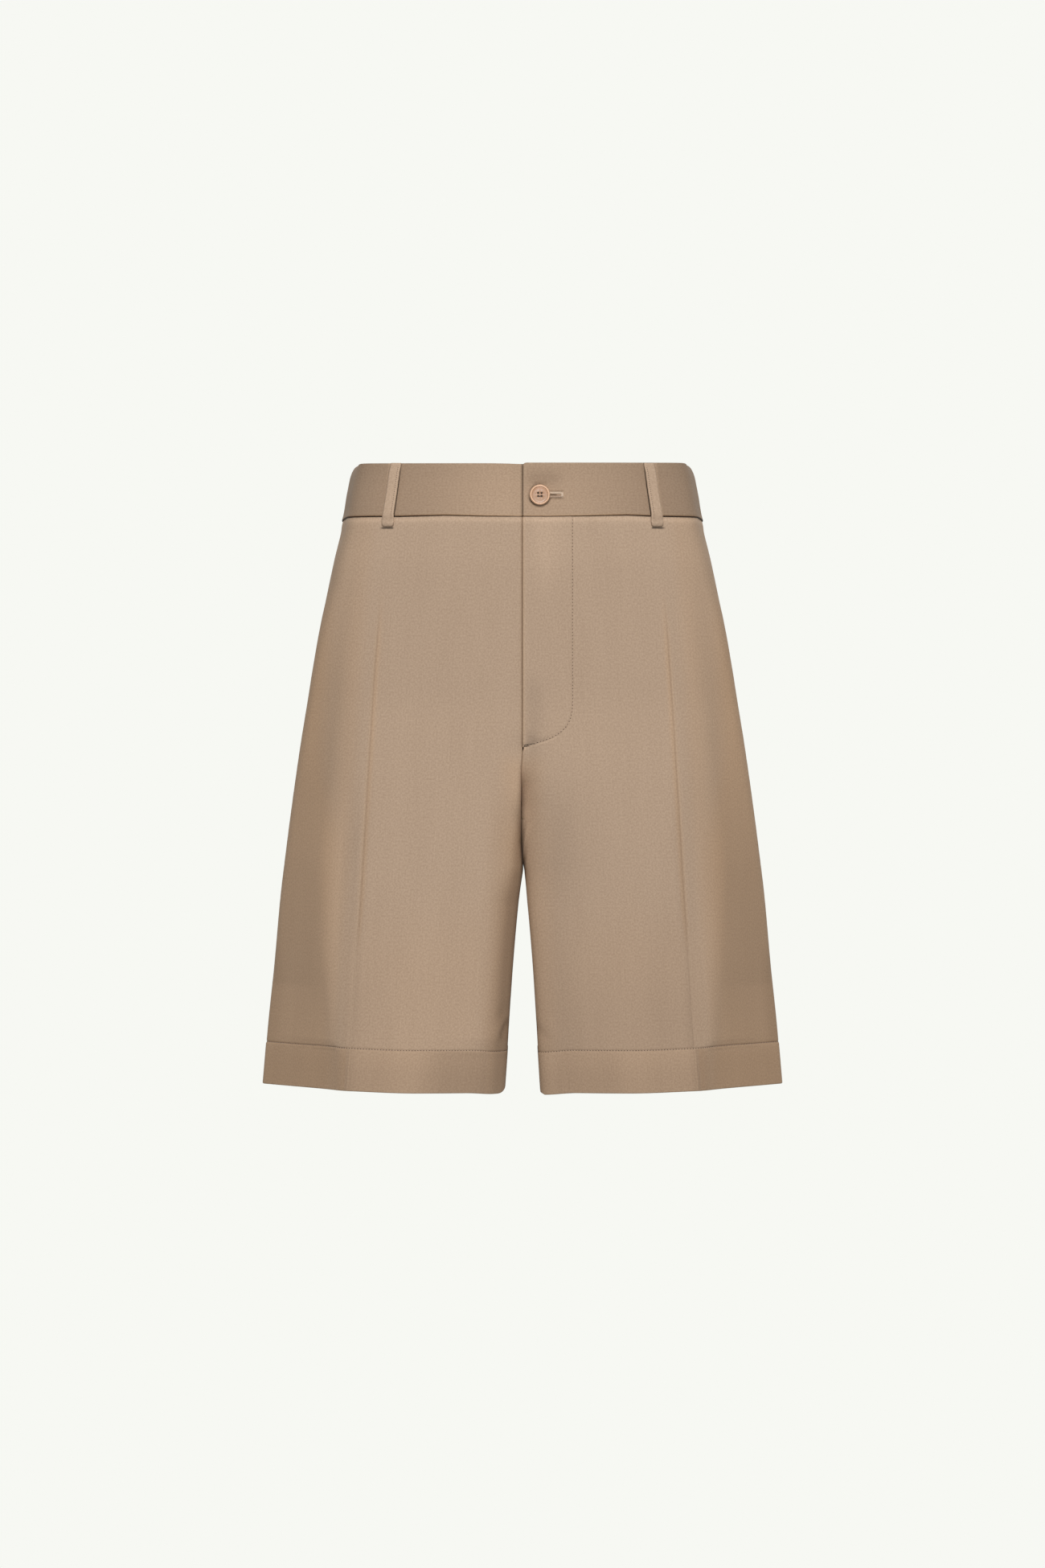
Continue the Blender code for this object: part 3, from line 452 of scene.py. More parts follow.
def makeTwill():
    # a worsted twill: diagonal lines, uneven warp yarns and a soft mottle, all down the grain
    material, tree = newMaterial("wool_twill")

    def onWeave(scale, turn=0.0):
        weave = addNode(tree, "UVMap", 0, {}, uv_map="weave")
        return addNode(tree, "Mapping", 0, {"Scale": scale, "Rotation": (0.0, 0.0, turn), "Vector": weave})

    values = {"lines": addNode(tree, "TexWave", "Fac", {
        "Scale": twill["linesPerMetre"] * 2 * math.pi / 20, "Distortion": 0.6, "Detail": 1.0,
        "Vector": onWeave((1, 1, 1), math.radians(twill["lineAngle"]))},
        wave_type="BANDS", bands_direction="X")}
    for name in ("yarns", "bands", "grain"):
        scale, detail = twill[name]
        values[name] = addNode(tree, "TexNoise", "Fac",
                               {"Scale": 1.0, "Detail": detail, "Vector": onWeave(scale)})
    low, high = twill["mottleRange"]
    factor = addNode(tree, "MapRange", "Result", {"From Min": low, "From Max": high,
                                                  "Value": weighted(tree, values, twill["mottle"])})
    fill(tree, tree.nodes["Principled BSDF"], {
        "Base Color": toned(tree, mixed(tree, twill["shade"], twill["colour"], factor)),
        "Normal": addBump(tree, weighted(tree, values, twill["relief"]), twill["bump"]),
        "Roughness": twill["roughness"], "Sheen Weight": twill["sheen"], "Sheen Roughness": 0.5,
        "Sheen Tint": twill["sheenTint"], "Specular IOR Level": 0.2})
    return material


def makeThread(name):
    # sewing thread: two plies wound round each other show as fine slanting bands
    colour, roughness = threads[name]
    material, tree = newMaterial(name)
    place = addNode(tree, "TexCoord", "Object", {})
    ply = addNode(tree, "TexWave", "Fac", {"Scale": 620.0, "Vector": place}, bands_direction="DIAGONAL")
    dark = tuple(c * 0.82 for c in colour[:3]) + (1.0,)
    fill(tree, tree.nodes["Principled BSDF"], {
        "Base Color": mixed(tree, dark, colour, ply), "Normal": addBump(tree, ply, 0.00004),
        "Roughness": roughness})
    return material


def makeHorn():
    # pale tan resin with faint cloudy streaks and a soft gloss
    material, tree = newMaterial("button_resin")
    place = addNode(tree, "TexCoord", "Object", {})
    place = addNode(tree, "Mapping", 0, {"Scale": resin["streaks"], "Vector": place})
    cloud = addNode(tree, "TexNoise", "Fac", {"Scale": 1.0, "Detail": 3.0, "Distortion": 0.8,
                                              "Vector": place})
    fill(tree, tree.nodes["Principled BSDF"], {
        "Base Color": toned(tree, mixed(tree, resin["dark"], resin["pale"], cloud)),
        "Roughness": resin["roughness"], "Coat Weight": resin["coat"], "Coat Roughness": 0.2})
    return material


clothFinish = makeTwill()
# the lit buttonhole thread is painted light, and the near-black finish is painted shade for the holes, worn
# also by the dark thread in them
threadFinish, litButtonholeThreadFinish, threadAndHoleShadeFinish = (makeThread(name) for name in threads)
buttonFinish = makeHorn()
print("finishes made")


# ---- fronts and backs ----
panels = {
    "seamRound": 0.7,       # radius of the cloth where it turns into a seam
    "hemRound": 1.1,        # and at the folded edge of the hem
    "hemGroove": 0.45, "hemGrooveWidth": 0.8, "hemStep": 0.35, "hemStepWidth": 1.5,
    "creaseRidge": 0.35, "creaseWidth": 1.2, "creaseFrom": (-70.0, -130.0), "creaseOnHem": 0.25,
    "flyRelief": 0.7, "flyGroove": 0.3, "flyGrooveWidth": 0.8,
    "allowance": 11.0, "allowanceWall": 0.5,    # pressed-open seam allowances inside
    "bodyRun": 185.3,       # from the waist seam down to the fly's end, along which rows are spaced
}
# the fly's stitching, x and z from its top down to the tack
flyLine = np.array((
    (40.0, -21.8), (40.0, -90.0), (40.0, -150.0), (40.0, -165.0), (39.9, -173.5), (38.7, -181.5),
    (35.2, -189.0), (29.5, -194.6), (23.8, -198.1), (19.3, -199.9), (13.2, -201.8), (9.0, -203.2),
    (0.4, -205.0)))
# soft folds pressed or hung into each panel: x and z of the middle, the way it runs in degrees
# from straight down, half its length and width, and how far it stands out, all but the angle in mm
foldNames = ("x", "z", "way", "length", "width", "out")
softFolds = {
    "front_left": ((60, -90, 2, 120, 26, 0.5), (92, -230, 2, 160, 22, -0.6), (150, -330, 5, 150, 24, 0.8),
                   (48, -330, -2, 150, 26, 0.6), (80, -420, 1, 90, 18, -0.5), (16, -437, 29, 13, 2.4, -1.3),
                   (20, -431, 24, 15, 3.5, 0.7), (165, -430, 4, 80, 16, -0.7)),
    "front_right": ((58, -120, -1, 140, 28, 0.5), (88, -260, 2, 150, 22, -0.6), (148, -300, 5, 150, 26, 0.8),
                    (45, -340, -3, 130, 24, 0.8), (84, -425, 2, 80, 18, -0.5), (14.5, -419, 24, 14, 4, -0.7),
                    (14.5, -432, 22, 12, 2.2, -1.7), (18.5, -432, 22, 13, 3, 1.1),
                    (160, -440, 4, 80, 15, -0.7)),
    "back_left": ((52, -120, -3, 120, 26, 0.6), (94, -200, 4, 130, 24, -0.7), (62, -300, 2, 130, 22, 1.0),
                  (150, -330, 6, 150, 26, 0.9), (36, -270, -24, 60, 9, -1.4), (44, -300, -30, 55, 8, -1.0),
                  (90, -420, 0, 90, 16, -0.6)),
    "back_right": ((50, -130, -2, 120, 24, 0.6), (92, -210, 3, 130, 22, -0.7), (64, -320, 3, 130, 22, 0.9),
                   (148, -320, 5, 150, 28, 0.9), (34, -262, -20, 52, 8, -1.2), (46, -310, -34, 60, 9, -1.1),
                   (86, -430, 2, 90, 16, -0.6)),
}
# How much lighter or darker the panels show with painted light and painted shade, as rules for ruleParts, all
# added.
# Places are in mm: toMiddle runs inwards from the crease, hem up from its stitching and below
# down from it.
panelTones = {
    # painted shade in the seams and the hem's groove, painted light under the band and on the hem's fold
    # below its stitching, darker further down
    "every": (      # the seams, the light under the band, the hem's groove and its fold below it
        (-0.65, ("bell", "fromTop", 0, 0.5)), (-0.25, ("bell", "fromEdge", 0, 0.7)),
        (0.17, ("bell", "fromTop", 2.6, 1.8)), (0.05, ("bell", "fromTop", 5, 4)),
        (-0.04, ("bell", "hem", 0, 0.7)), (-0.18, "beyond", ("bell", "hem", 0, 0.7)),
        (0.06, "onHem", ("fade", "below", 5)), (-0.05, "onHem", "within", ("ramp", "below", 6, 24)),
        (0.07, "onHem", "beyond", ("fade", "below", 5))),
    # painted light on one side of the crease and painted shade on the other
    "front": (      # the crease, light on one side and shaded on the other
        (0.06, "crisp", ("bell", "toMiddle", -1, 0.7)), (-0.19, "crisp", ("bell", "toMiddle", 0.4, 0.7)),
        (-0.12, "halfCrisp", ("ramp", "height", -180, -280), ("ramp", "toMiddle", 0, 0.8),
         ("bell", "toMiddle", 0, 4.5)),
        # painted shade makes the pressed hem crisp at the crease, and painted light and shade grade the
        # slope beyond it, darker little by little towards the side
        (-0.16, "onHem", ("ramp", "toMiddle", -15, -4), ("ramp", "toMiddle", 0.4, -1)),
        (-0.05, "onHem", ("ramp", "toMiddle", 0.4, -1)),
        (0.08, "low", "offHem", ("ramp", "toMiddle", -3, -15), ("ramp", "toMiddle", -56, -26)),
        (-0.14, "offHem", ("ramp", "height", -330, -390), ("ramp", "fromSide", 30, 6)),
        # wide soft painted shade on the leg and the hip
        (-0.07, ("bell", "height", -285, 45), ("bell", "toMiddle", -24, 15)),
        (-0.035, ("bell", "height", -230, 80), ("bell", "toMiddle", -9, 7)),
        (-0.03, ("ramp", "height", -300, -360), ("ramp", "offFace", 30, 10)),
        (-0.035, ("ramp", "height", -45, -70), ("ramp", "height", -185, -155)),
        # a painted shadow of the belt loop's end on the front, and painted shade in the crotch at the gap
        (-0.93, ("ramp", "offLoop", 5.2, 4.3), ("bell", "height", -30.3, 0.7)),
        (-0.2, "crotch", ("bell", "fromGap", 0, 1.5)),
        (-0.65, "crotch", ("ramp", "height", -255, -290), ("bell", "fromGap", 0, 1.5))),
    "front_left": (
        # painted shade where less light falls on this leg, down it and towards its inner edge, and painted
        # light beside the crotch's gap
        (-0.035, ("ramp", "height", -200, -320)), (-0.035, "outerPart", ("ramp", "height", -200, -320)),
        (-0.05, "offHem", "innerPart", ("ramp", "height", -370, -430)),
        (-0.03, "offHem", "innerPart", ("ramp", "height", -330, -390)),
        (-0.085, "low", "offHem", ("bell", "fromGap", 0, 42)),
        (-0.065, "onHem", ("ramp", "fromGap", 75, 55)), (-0.06, "onHem", ("bell", "fromGap", 0, 12)),
        (-0.07, "onHem", "innerPart", ("ramp", "fromGap", 8, 18)),
        (0.24, "crotch", ("ramp", "height", -288, -270), ("bell", "fromGap", 4, 2.4)),
        (-0.04, ("ramp", "height", -225, -255), ("ramp", "height", -330, -300), ("ramp", "x", 55, 25)),
        # a painted highlight runs along the fly's edge, and another under the curve of its stitching, with
        # painted shade just above that curve
        (0.05, "onFly", ("bell", "fromMiddle", 1.7, 0.7)),
        (0.2, ("bell", "underFly", -1.5, 0.7), ("ramp", "x", 31, 23)),
        (-0.1, ("bell", "underFly", 1.4, 1.4), ("ramp", "x", 24, 16)),
        # painted light high beside the middle, painted shade lower down near it, and painted shade at the
        # fly's tack
        (0.09, ("bell", "x", 18, 14), ("ramp", "height", -95, -50)),
        (-0.1, ("bell", "x", 9, 8), ("ramp", "height", -140, -165), ("ramp", "height", -235, -215)),
        (-0.16, ("bell", "x", 7, 5), ("bell", "height", -199.5, 5))),
    "front_right": (
        # painted shadow along the fly's lapped edge, and painted shade with a little painted light on the
        # leg's inner half, at its hem and in the crotch
        (-0.28, "onFly", ("bell", "fromMiddle", 0, 1.4)),
        (-0.07, "low", "offHem", ("ramp", "toMiddle", -1, -6), ("ramp", "toMiddle", -20, -12)),
        (0.06, "low", "offHem", ("ramp", "toMiddle", -14, -22)),
        (-0.11, "low", "offHem", ("bell", "fromGap", 14, 9)),
        (-0.05, "innerPart", ("ramp", "height", -350, -410), ("ramp", "toMiddle", 40, 0)),
        (-0.16, "onHem", ("ramp", "fromGap", 78, 43), ("ramp", "fromGap", 6, 20)),
        (-0.06, "onHem", "innerPart", ("ramp", "fromGap", 8, 18)),
        (-0.13, "crotch", ("bell", "fromGap", 4, 5)),
        # painted shade of a small fold that the hem pulls at the leg's inner edge, and painted shade at the
        # middle near the fly's end
        (-0.22, "nearFold", ("bell", "offFold", 0, 0.9)), (-0.14, "nearFold", ("ramp", "offFold", 0, -1)),
        (-0.08, ("bell", "x", 0, 8), ("bell", "height", -201, 8))),
}
# how much warmer the painted shade shows, where the strongest rule counts alone
panelWarmth = {
    "every": ((0.2, ("ramp", "height", -300, -390)), (0.4, "onHem")),
    "front": ((1.0, "onHem", "hemSide"), (0.55, "crisp", ("bell", "toMiddle", 1.2, 2.4)),
              (0.5, ("bell", "fromMiddle", 0, 1.6)),
              (0.45, ("ramp", "height", -205, -225), ("ramp", "height", -330, -300),
               ("ramp", "fromGap", 24, 6))),
    "front_left": ((0.5, "low", ("ramp", "fromGap", 34, 0)),),
    "front_right": ((0.8, "low", ("ramp", "fromGap", 34, 0)),),
}


def foldRelief(name, x, z):
    # the sum of soft ridges: a bell across each and a smooth step down to nothing along it
    total = np.zeros_like(x)
    for fold in softFolds[name]:
        size = dict(zip(foldNames, fold))
        way = math.radians(size["way"])
        dx, dz = x - size["x"], z - size["z"]
        down, across = dx * math.sin(way) - dz * math.cos(way), dx * math.cos(way) + dz * math.sin(way)
        total += size["out"] * ramp(np.abs(down), size["length"], 0.0) * bell(across, 0.0, size["width"])
    return total


def flyEdge(z):
    # x of the fly's stitching at each height, and 0 below its end
    return np.interp(z, flyLine[::-1, 1], flyLine[::-1, 0], left=0.0)


def panelHeights(face):
    # rows at the side seam, and the same rows at the middle seam, close together at every edge
    flyEnd, turnStart = form["flyEnd"], form["flyEnd"] if face == "front" else form["seatEnd"]
    top, fork, stitch, hem = form["waistSeam"], form["forkZ"], form["hemStitch"], form["hemZ"]
    body = -spread((0.0, 0.12), (1.0, 0.3), (4.0, 0.8), (8.0, 0.8), (9.0, 0.35), (11.5, 0.35), (15.0, 2.6),
                   (150.0, 2.6), (163.0, 1.0), (panels["bodyRun"], 1.0))
    quarter = np.radians(spread((0.0, 3.5), (90.0, 3.5)))
    leg = spread((fork, 3.0), (stitch + 6.0, 1.6), (stitch + 2.4, 0.35), (stitch - 2.0, 0.35),
                 (stitch - 8.0, 2.4), (hem + 5.0, 1.6), (hem + 1.2, 0.22), (hem, 0.1))[1:]
    crotch = np.linspace(0.0, 1.0, len(quarter))[1:]
    side = np.concatenate([top + body * (top - flyEnd) / panels["bodyRun"],
                           flyEnd + (fork - flyEnd) * crotch, leg])
    inner = np.concatenate([top + body * (top - turnStart) / panels["bodyRun"],
                            turnStart + (fork - turnStart) * np.sin(quarter[1:]), leg])
    return side, inner


def panelSteps(name):
    # columns from the side seam over the crease to the middle, in steps of the ring
    outer = spread((0.0, 0.12), (1.0, 0.3), (9.0, 3.0), (120.0, 3.0), (127.0, 0.5), (130.0, 0.3)) / 130.0
    fly = ((72.0, 2.6), (76.0, 0.7), (86.0, 0.7), (92.0, 2.4), (112.0, 2.0))
    middle = fly if name == "front_left" else ((108.0, 2.6),)
    inner = spread((0.0, 0.3), (3.0, 0.5), (10.0, 2.8), *middle, (118.6, 0.3), (120.0, 0.12)) / 120.0
    return np.concatenate([outer, 1.0 + inner[1:]]), len(outer) - 1


def makePanel(name):
    face, half = name.split("_")
    side = 1.0 if half == "left" else -1.0
    sideHeights, innerHeights = panelHeights(face)
    steps, crease = panelSteps(name)
    blend = smoothStep((steps - 1.2) / 0.8)
    height = sideHeights[:, None] * (1 - blend) + innerHeights[:, None] * blend
    base = ringPoints(face, steps[None, :], height, half)
    base[..., 2] += seamWave(base[..., 0] * side, base[..., 1], height)
    normal = outwardNormals(base, face)
    normal[:, 0, 1] = 0.0
    normal /= np.linalg.norm(normal, axis=-1, keepdims=True)
    x, z = base[..., 0], base[..., 2]
    across = runLength(base, 1)
    fromSide, fromMiddle = across, across[:, -1:] - across
    fromEdge, toMiddle = np.minimum(fromSide, fromMiddle), across - across[:, crease:crease + 1]
    fromTop, fromHem, hem = form["waistSeam"] - height, height - form["hemZ"], height - form["hemStitch"]

    # soft relief moves both faces of the cloth: folds, a swell under the band and the fly's lap
    soft = foldRelief(name, x, z) * ramp(fromTop, 0.0, 45.0) * ramp(fromSide, 0.0, 25.0)
    soft = soft + 0.5 * bell(fromTop, 3.5, 4.0)
    # fine relief moves its outer face alone: the crease's ridge falls off by e at each width, the
    # hem is a groove and a step, and the edges are quarter circles
    stepped = ramp(hem, 0.0, -panels["hemStepWidth"])
    ridge = panels["creaseRidge"] * ramp(height, *panels["creaseFrom"])
    ridge = ridge * (1.0 - (1.0 - panels["creaseOnHem"]) * stepped)
    fine = ridge * fade(np.abs(toMiddle), panels["creaseWidth"])
    fine = fine - panels["hemGroove"] * bell(hem, 0.0, panels["hemGrooveWidth"]) + panels["hemStep"] * stepped
    for distance in (fromTop, fromSide, fromMiddle):
        fine = fine - roundEdge(distance, panels["seamRound"])
    fine = fine - roundEdge(fromHem, panels["hemRound"])
    if name == "front_left":
        soft = soft + panels["flyRelief"] * ramp(flyEdge(z) - x, -1.25, 1.25) * (z > form["flyEnd"])
        groove = bell(x, flyEdge(z), panels["flyGrooveWidth"]) * (z > form["flyEnd"] + 4.0)
        fine = fine - panels["flyGroove"] * groove
    outer = base + normal * (soft + fine)[..., None]
    # above the legs the two sides stay edge to edge along the middle seam
    held = bell(fromMiddle, 0.0, 1.5) * (height > form["forkZ"])
    outer[..., 0] += (base[..., 0] - outer[..., 0]) * held

    wall = form["cloth"] + (form["hemWall"] - form["cloth"]) * ramp(hem, 1.0, -0.5)
    allowance = ramp(fromEdge, panels["allowance"] + 0.8, panels["allowance"])
    wall = wall + panels["allowanceWall"] * allowance * ramp(fromTop, 0.0, 4.0) * ramp(hem, 0.0, 3.0)
    inner = base + normal * (soft - wall + 0.6 * roundEdge(fromHem, panels["hemRound"]))[..., None]

    offHem, beyond = ramp(hem, -1.0, 0.0), ramp(toMiddle, 0.0, -6.0)
    crisp = ramp(height, -75.0, -135.0) * (1.0 - 0.75 * ramp(height, -330.0, -390.0))
    places = {
        "x": x, "height": height, "hem": hem, "below": np.clip(-hem, 0.0, 40.0), "toMiddle": toMiddle,
        "fromTop": fromTop, "fromSide": fromSide, "fromMiddle": fromMiddle, "fromEdge": fromEdge,
        "fromGap": np.maximum(x - ringSize("innerX", height), 0.0), "offFace": np.abs(toMiddle - 14.0),
        "offLoop": np.abs(x - ringSize("frontCrease", height)),
        "underFly": z - np.interp(x, flyLine[::-1, 0], flyLine[::-1, 1]),
        "offFold": (x - 12.5 + 0.4 * (height + 424.0)) * 0.93,      # x runs out as z runs down
        "nearFold": ramp(height, -420.0, -428.0) * ramp(height, -443.0, -437.0),
        "crotch": ramp(height, -236.0, -261.0) * ramp(height, -318.0, -300.0),
        "low": ramp(height, -220.0, -290.0), "onFly": z > form["flyEnd"],
        "offHem": offHem, "onHem": 1.0 - offHem, "beyond": beyond, "within": 1.0 - beyond,
        "crisp": crisp, "halfCrisp": 0.5 + 0.5 * crisp, "outerPart": steps < 1.0, "innerPart": steps > 1.0,
        "hemSide": 0.65 * ramp(toMiddle, 0.0, -4.0) + 0.35 * ramp(toMiddle, -6.0, -32.0),
    }
    keys = ("every", face, name)
    # beyond the crease the painted shade warms twice, the second time further out on the hip
    reach = 12.0 + 22.0 * ramp(height, -300.0, -200.0)
    warmth = 0.4 * ramp(toMiddle, -4.0, -20.0) + 0.6 * ramp(-toMiddle, reach, reach + 26.0)
    warmth = warmth * (0.7 + 0.3 * ramp(height, -50.0, -140.0))
    warmth = np.maximum.reduce([warmth] + ruleParts(panelWarmth, keys, places))
    # the panel's painted light and shade
    tone = sum(ruleParts(panelTones, keys, places))

    wander = np.interp(z, middleWander["z"], middleWander["shift"]) * bell(x, 0.0, middleWander["width"])
    shift = wander[..., None] * np.array((1.0, 0.0, 0.0))
    mirror = np.array((side, 1.0, 1.0))
    outer, inner = outer * mirror + shift, inner * mirror + shift
    weave = np.stack([toMiddle * side, z], axis=-1)
    piece = addCloth(name, outer, inner, weave, tinted(tone, warmth))
    return {"piece": piece, "points": outer, "normal": normal * mirror, "height": height}


cloth = {name: makePanel(name) for name in softFolds}
print("panels made")


# ---- waistband ----
band = {
    "proud": 0.6, "wall": 2.2, "hollow": 1.8,       # the band is pressed a little hollow
    "topRound": 1.0, "seamRound": 0.8, "backRound": 0.7, "lapRound": 0.9, "lapCorner": 3.2,
    "lapRise": 0.5, "underlapDrop": 0.4, "tuck": 2.5,
    "leanHeight": 11.0, "leanDepth": 3.8, "leanFull": 60.0, "leanEnd": 90.0,
    "slitFrom": 12.6, "slitTo": 28.3, "slitZ": -4.0,
    "crease": 104.5,        # x where the columns below change into steps of the ring
    "columns": {
        "waistband_left": ((0.0, 0.12), (1.2, 0.3), (6.0, 1.2), (14.5, 0.8), (30.5, 0.8), (34.0, 2.0),
                           (94.0, 2.4), (97.5, 0.5), (104.5, 0.7)),
        "waistband_right": ((-40.0, 0.3), (-38.0, 2.0), (-2.0, 0.8), (16.0, 0.8), (24.0, 2.4), (94.0, 2.4),
                            (97.5, 0.5), (104.5, 0.7))},
    "darkFrom": {"waistband_left": 30.0, "waistband_right": 8.0},
}
# the button's size and place; its holes stand a pitch apart
button = {
    "x": 13.9, "z": -4.0, "radius": 8.1, "thick": 3.0, "lift": 1.2, "dish": 6.0,
    "hole": 0.82, "pitch": 2.65, "sides": 96,
}
# the band is darker towards its ends, with painted shadow beside the loops, above, below and to one side of
# the button, along the lap's edge and the buttonhole's welts, and painted light just outside each loop; offX
# and offZ are measured from the button, offRim from its middle
bandTones = {
    "band": ((-0.22, "outside"), (-0.02, ("ramp", "height", 0, 20)), (-0.02, ("ramp", "height", -8, -18)),
             (0.25, "inFront", ("bell", "offLoop", 4.8, 0.7)),
             (-0.8, "inFront", ("bell", "offLoop", -4.3, 0.45))),
    "waistband_left": (
        (-0.08,), (-0.8, ("bell", "across", 0, 0.65)),
        (-0.16, "inFront", ("ramp", "x", -2, 10), ("ramp", "x", 38, 20), ("bell", "offZ", 13, 6)),
        (-0.16, "inFront", ("ramp", "besideX", 8.4, 2.4), ("bell", "offZ", 9.4, 1.3)),
        (-0.55, "inFront", ("ramp", "offZ", 2.4, -5.6), ("bell", "offRim", 8.6, 0.9)),
        (-0.28, "inFront", ("ramp", "offX", 1.6, -6.4), ("bell", "offRim", 8.6, 0.9)),
        (-0.3, "inFront", ("ramp", "x", 19, 21), ("ramp", "x", 33.5, 32.5), ("bell", "besideZ", 3.1, 0.5))),
    "waistband_right": ((-0.015,), (-0.45, "inFront", ("bell", "x", 0.3, 0.9))),
}


def bandGrid(middle):
    # columns from the middle or the underlap's end round to the centre back
    steps = np.concatenate([2.0 - spread(*middle) / band["crease"],
                            spread((1.0, 0.006), (0.93, 0.008), (0.88, 0.03), (0.1, 0.03), (0.0, 0.01))[1:]])
    backSteps = spread((0.0, 0.01), (0.1, 0.03), (1.9, 0.03), (2.0, 0.002))[1:]
    rows = np.concatenate([
        spread((-21.2, 0.12), (-20.2, 0.25), (-17.0, 1.2), (-13.5, 0.8), (-8.5, 0.6), (-4.35, 0.45)),
        spread((-3.65, 0.45), (0.5, 0.6), (9.0, 1.0), (18.0, 1.6), (20.2, 0.25), (21.2, 0.12))])
    base = np.concatenate([ringPoints(face, *np.meshgrid(run, rows))
                           for face, run in (("front", steps), ("back", backSteps))], axis=1)
    normal = gridNormals(base)
    normal *= np.sign(np.mean(normal[..., 0]))
    return base, normal, np.broadcast_to(rows[:, None], base.shape[:2]), len(steps) - 1


def bandProfile(height):
    # how far the band stands out: a parabola, hollow in the middle of its height
    return band["proud"] + band["hollow"] * ((height / form["bandTop"]) ** 2 - 0.6)


def onBand(x, z):
    # points of the band's outer face in front
    seat = ringPoints("front", 2.0 - x / ringSize("frontCrease", z), z)
    seat[..., 1] -= bandProfile(z)
    return seat


def makeBand(name, side):
    lapped = name == "waistband_left"
    base, normal, height, sideColumn = bandGrid(band["columns"][name])
    base[..., 2] += seamWave(base[..., 0] * side, base[..., 1], height)
    x, y = base[..., 0], base[..., 1]
    inFront = y < -40.0
    across = runLength(base, 1)
    lift, top = bandProfile(height), form["bandTop"] - height
    fine = -roundEdge(top, band["topRound"]) - roundEdge(height - form["waistSeam"], band["seamRound"])
    fine = fine - roundEdge(across[:, -1:] - across, band["backRound"])
    if lapped:
        fine = fine - roundEdge(across, band["lapRound"])
        corner = np.clip(band["lapCorner"] - x, 0.0, band["lapCorner"]) * inFront
        cut = band["lapCorner"] - np.sqrt(band["lapCorner"] ** 2 - corner ** 2)
        rise = band["lapRise"] * ramp(y, 40.0, -40.0) * ramp(height, 0.0, form["bandTop"])
        base[..., 2] += rise - cut * ramp(height, 8.0, form["bandTop"])
    else:
        lift = lift - band["tuck"] * ramp(x, 12.5, 0.5) * inFront
        drop = band["underlapDrop"] * ramp(x, 30.0, 0.0) * inFront
        base[..., 2] -= drop * ramp(height, 0.0, form["bandTop"])
    # at the sides its top leans in, rounded like a quarter of an ellipse
    atSide = ramp(np.abs(across - across[:, sideColumn:sideColumn + 1]), band["leanEnd"], band["leanFull"])
    share = 1.0 - np.clip(top / band["leanHeight"], 0.0, 1.0)
    lift = lift - atSide * band["leanDepth"] * (1.0 - np.sqrt(1.0 - share ** 2))
    outer = base + normal * (lift + fine)[..., None]
    inner = base + normal * (lift - band["wall"] + roundEdge(top, band["topRound"]))[..., None]

    offX, offZ = x - button["x"], height - button["z"]
    outside = ramp(np.abs(x), band["darkFrom"][name], band["darkFrom"][name] + 95.0)
    places = {"x": x, "height": height, "across": across, "outside": outside, "inFront": inFront,
              "offLoop": x - ringSize("frontCrease", height), "offX": offX, "offZ": offZ,
              "besideX": np.abs(offX), "besideZ": np.abs(offZ), "offRim": np.hypot(offX, offZ)}
    tone = sum(ruleParts(bandTones, ("band", name), places))
    # painted shade along the waist seam, wider and darker towards the ends, warmed most there and a little
    # over the whole band
    tone = tone - (0.65 + 0.2 * outside) * bell(height, form["waistSeam"], 0.45 + 0.4 * outside)
    warmth = 0.3 + 0.7 * bell(height, form["waistSeam"], 1.2)
    slit = None
    if lapped:
        row = int(np.searchsorted(height[:, 0], band["slitZ"])) - 1
        columns = np.nonzero((x[0] > band["slitFrom"] - 0.01) & (x[0] < band["slitTo"] - 0.4) & inFront[0])[0]
        slit = (row, slice(columns[0], columns[-1] + 1))
    mirror = np.array((side, 1.0, 1.0))
    weave = np.stack([height, across], axis=-1)     # the band is cut along the grain
    return addCloth(name, outer * mirror, inner * mirror, weave, tinted(tone, warmth), slit)


bands = {name: makeBand(name, side) for name, side in (("waistband_left", 1.0), ("waistband_right", -1.0))}
# the fly's underlap: its sides and ends, and how far behind the fronts its two faces lie
flap = {"from": -12.0, "to": 40.0, "top": 22.0, "end": 198.0, "outer": 1.9, "inner": 3.1, "round": 0.6}


def makeShield():
    # the plain underlap behind the fly, just within both fronts
    rows = -spread((flap["top"], 0.5), (26.0, 3.0), (194.0, 3.0), (flap["end"], 0.4))
    x = spread((flap["from"], 0.3), (-9.0, 2.0), (37.0, 2.0), (flap["to"], 0.3))
    step = 2.0 - x[None, :] / ringSize("frontCrease", rows)[:, None]
    base = ringPoints("front", step, np.broadcast_to(rows[:, None], step.shape))
    normal = outwardNormals(base, "front")
    fromSides = np.minimum(x - flap["from"], flap["to"] - x)
    fall = roundEdge(np.minimum(fromSides[None, :], (rows + flap["end"])[:, None]), flap["round"])
    outer = base - normal * (flap["outer"] + fall)[..., None]
    inner = base - normal * (flap["inner"] - fall)[..., None]
    weave = np.stack(np.broadcast_arrays(x[None, :], rows[:, None]), axis=-1)
    return addCloth("fly_shield", outer, inner, weave)


shield = makeShield()
print("waistband and fly made")


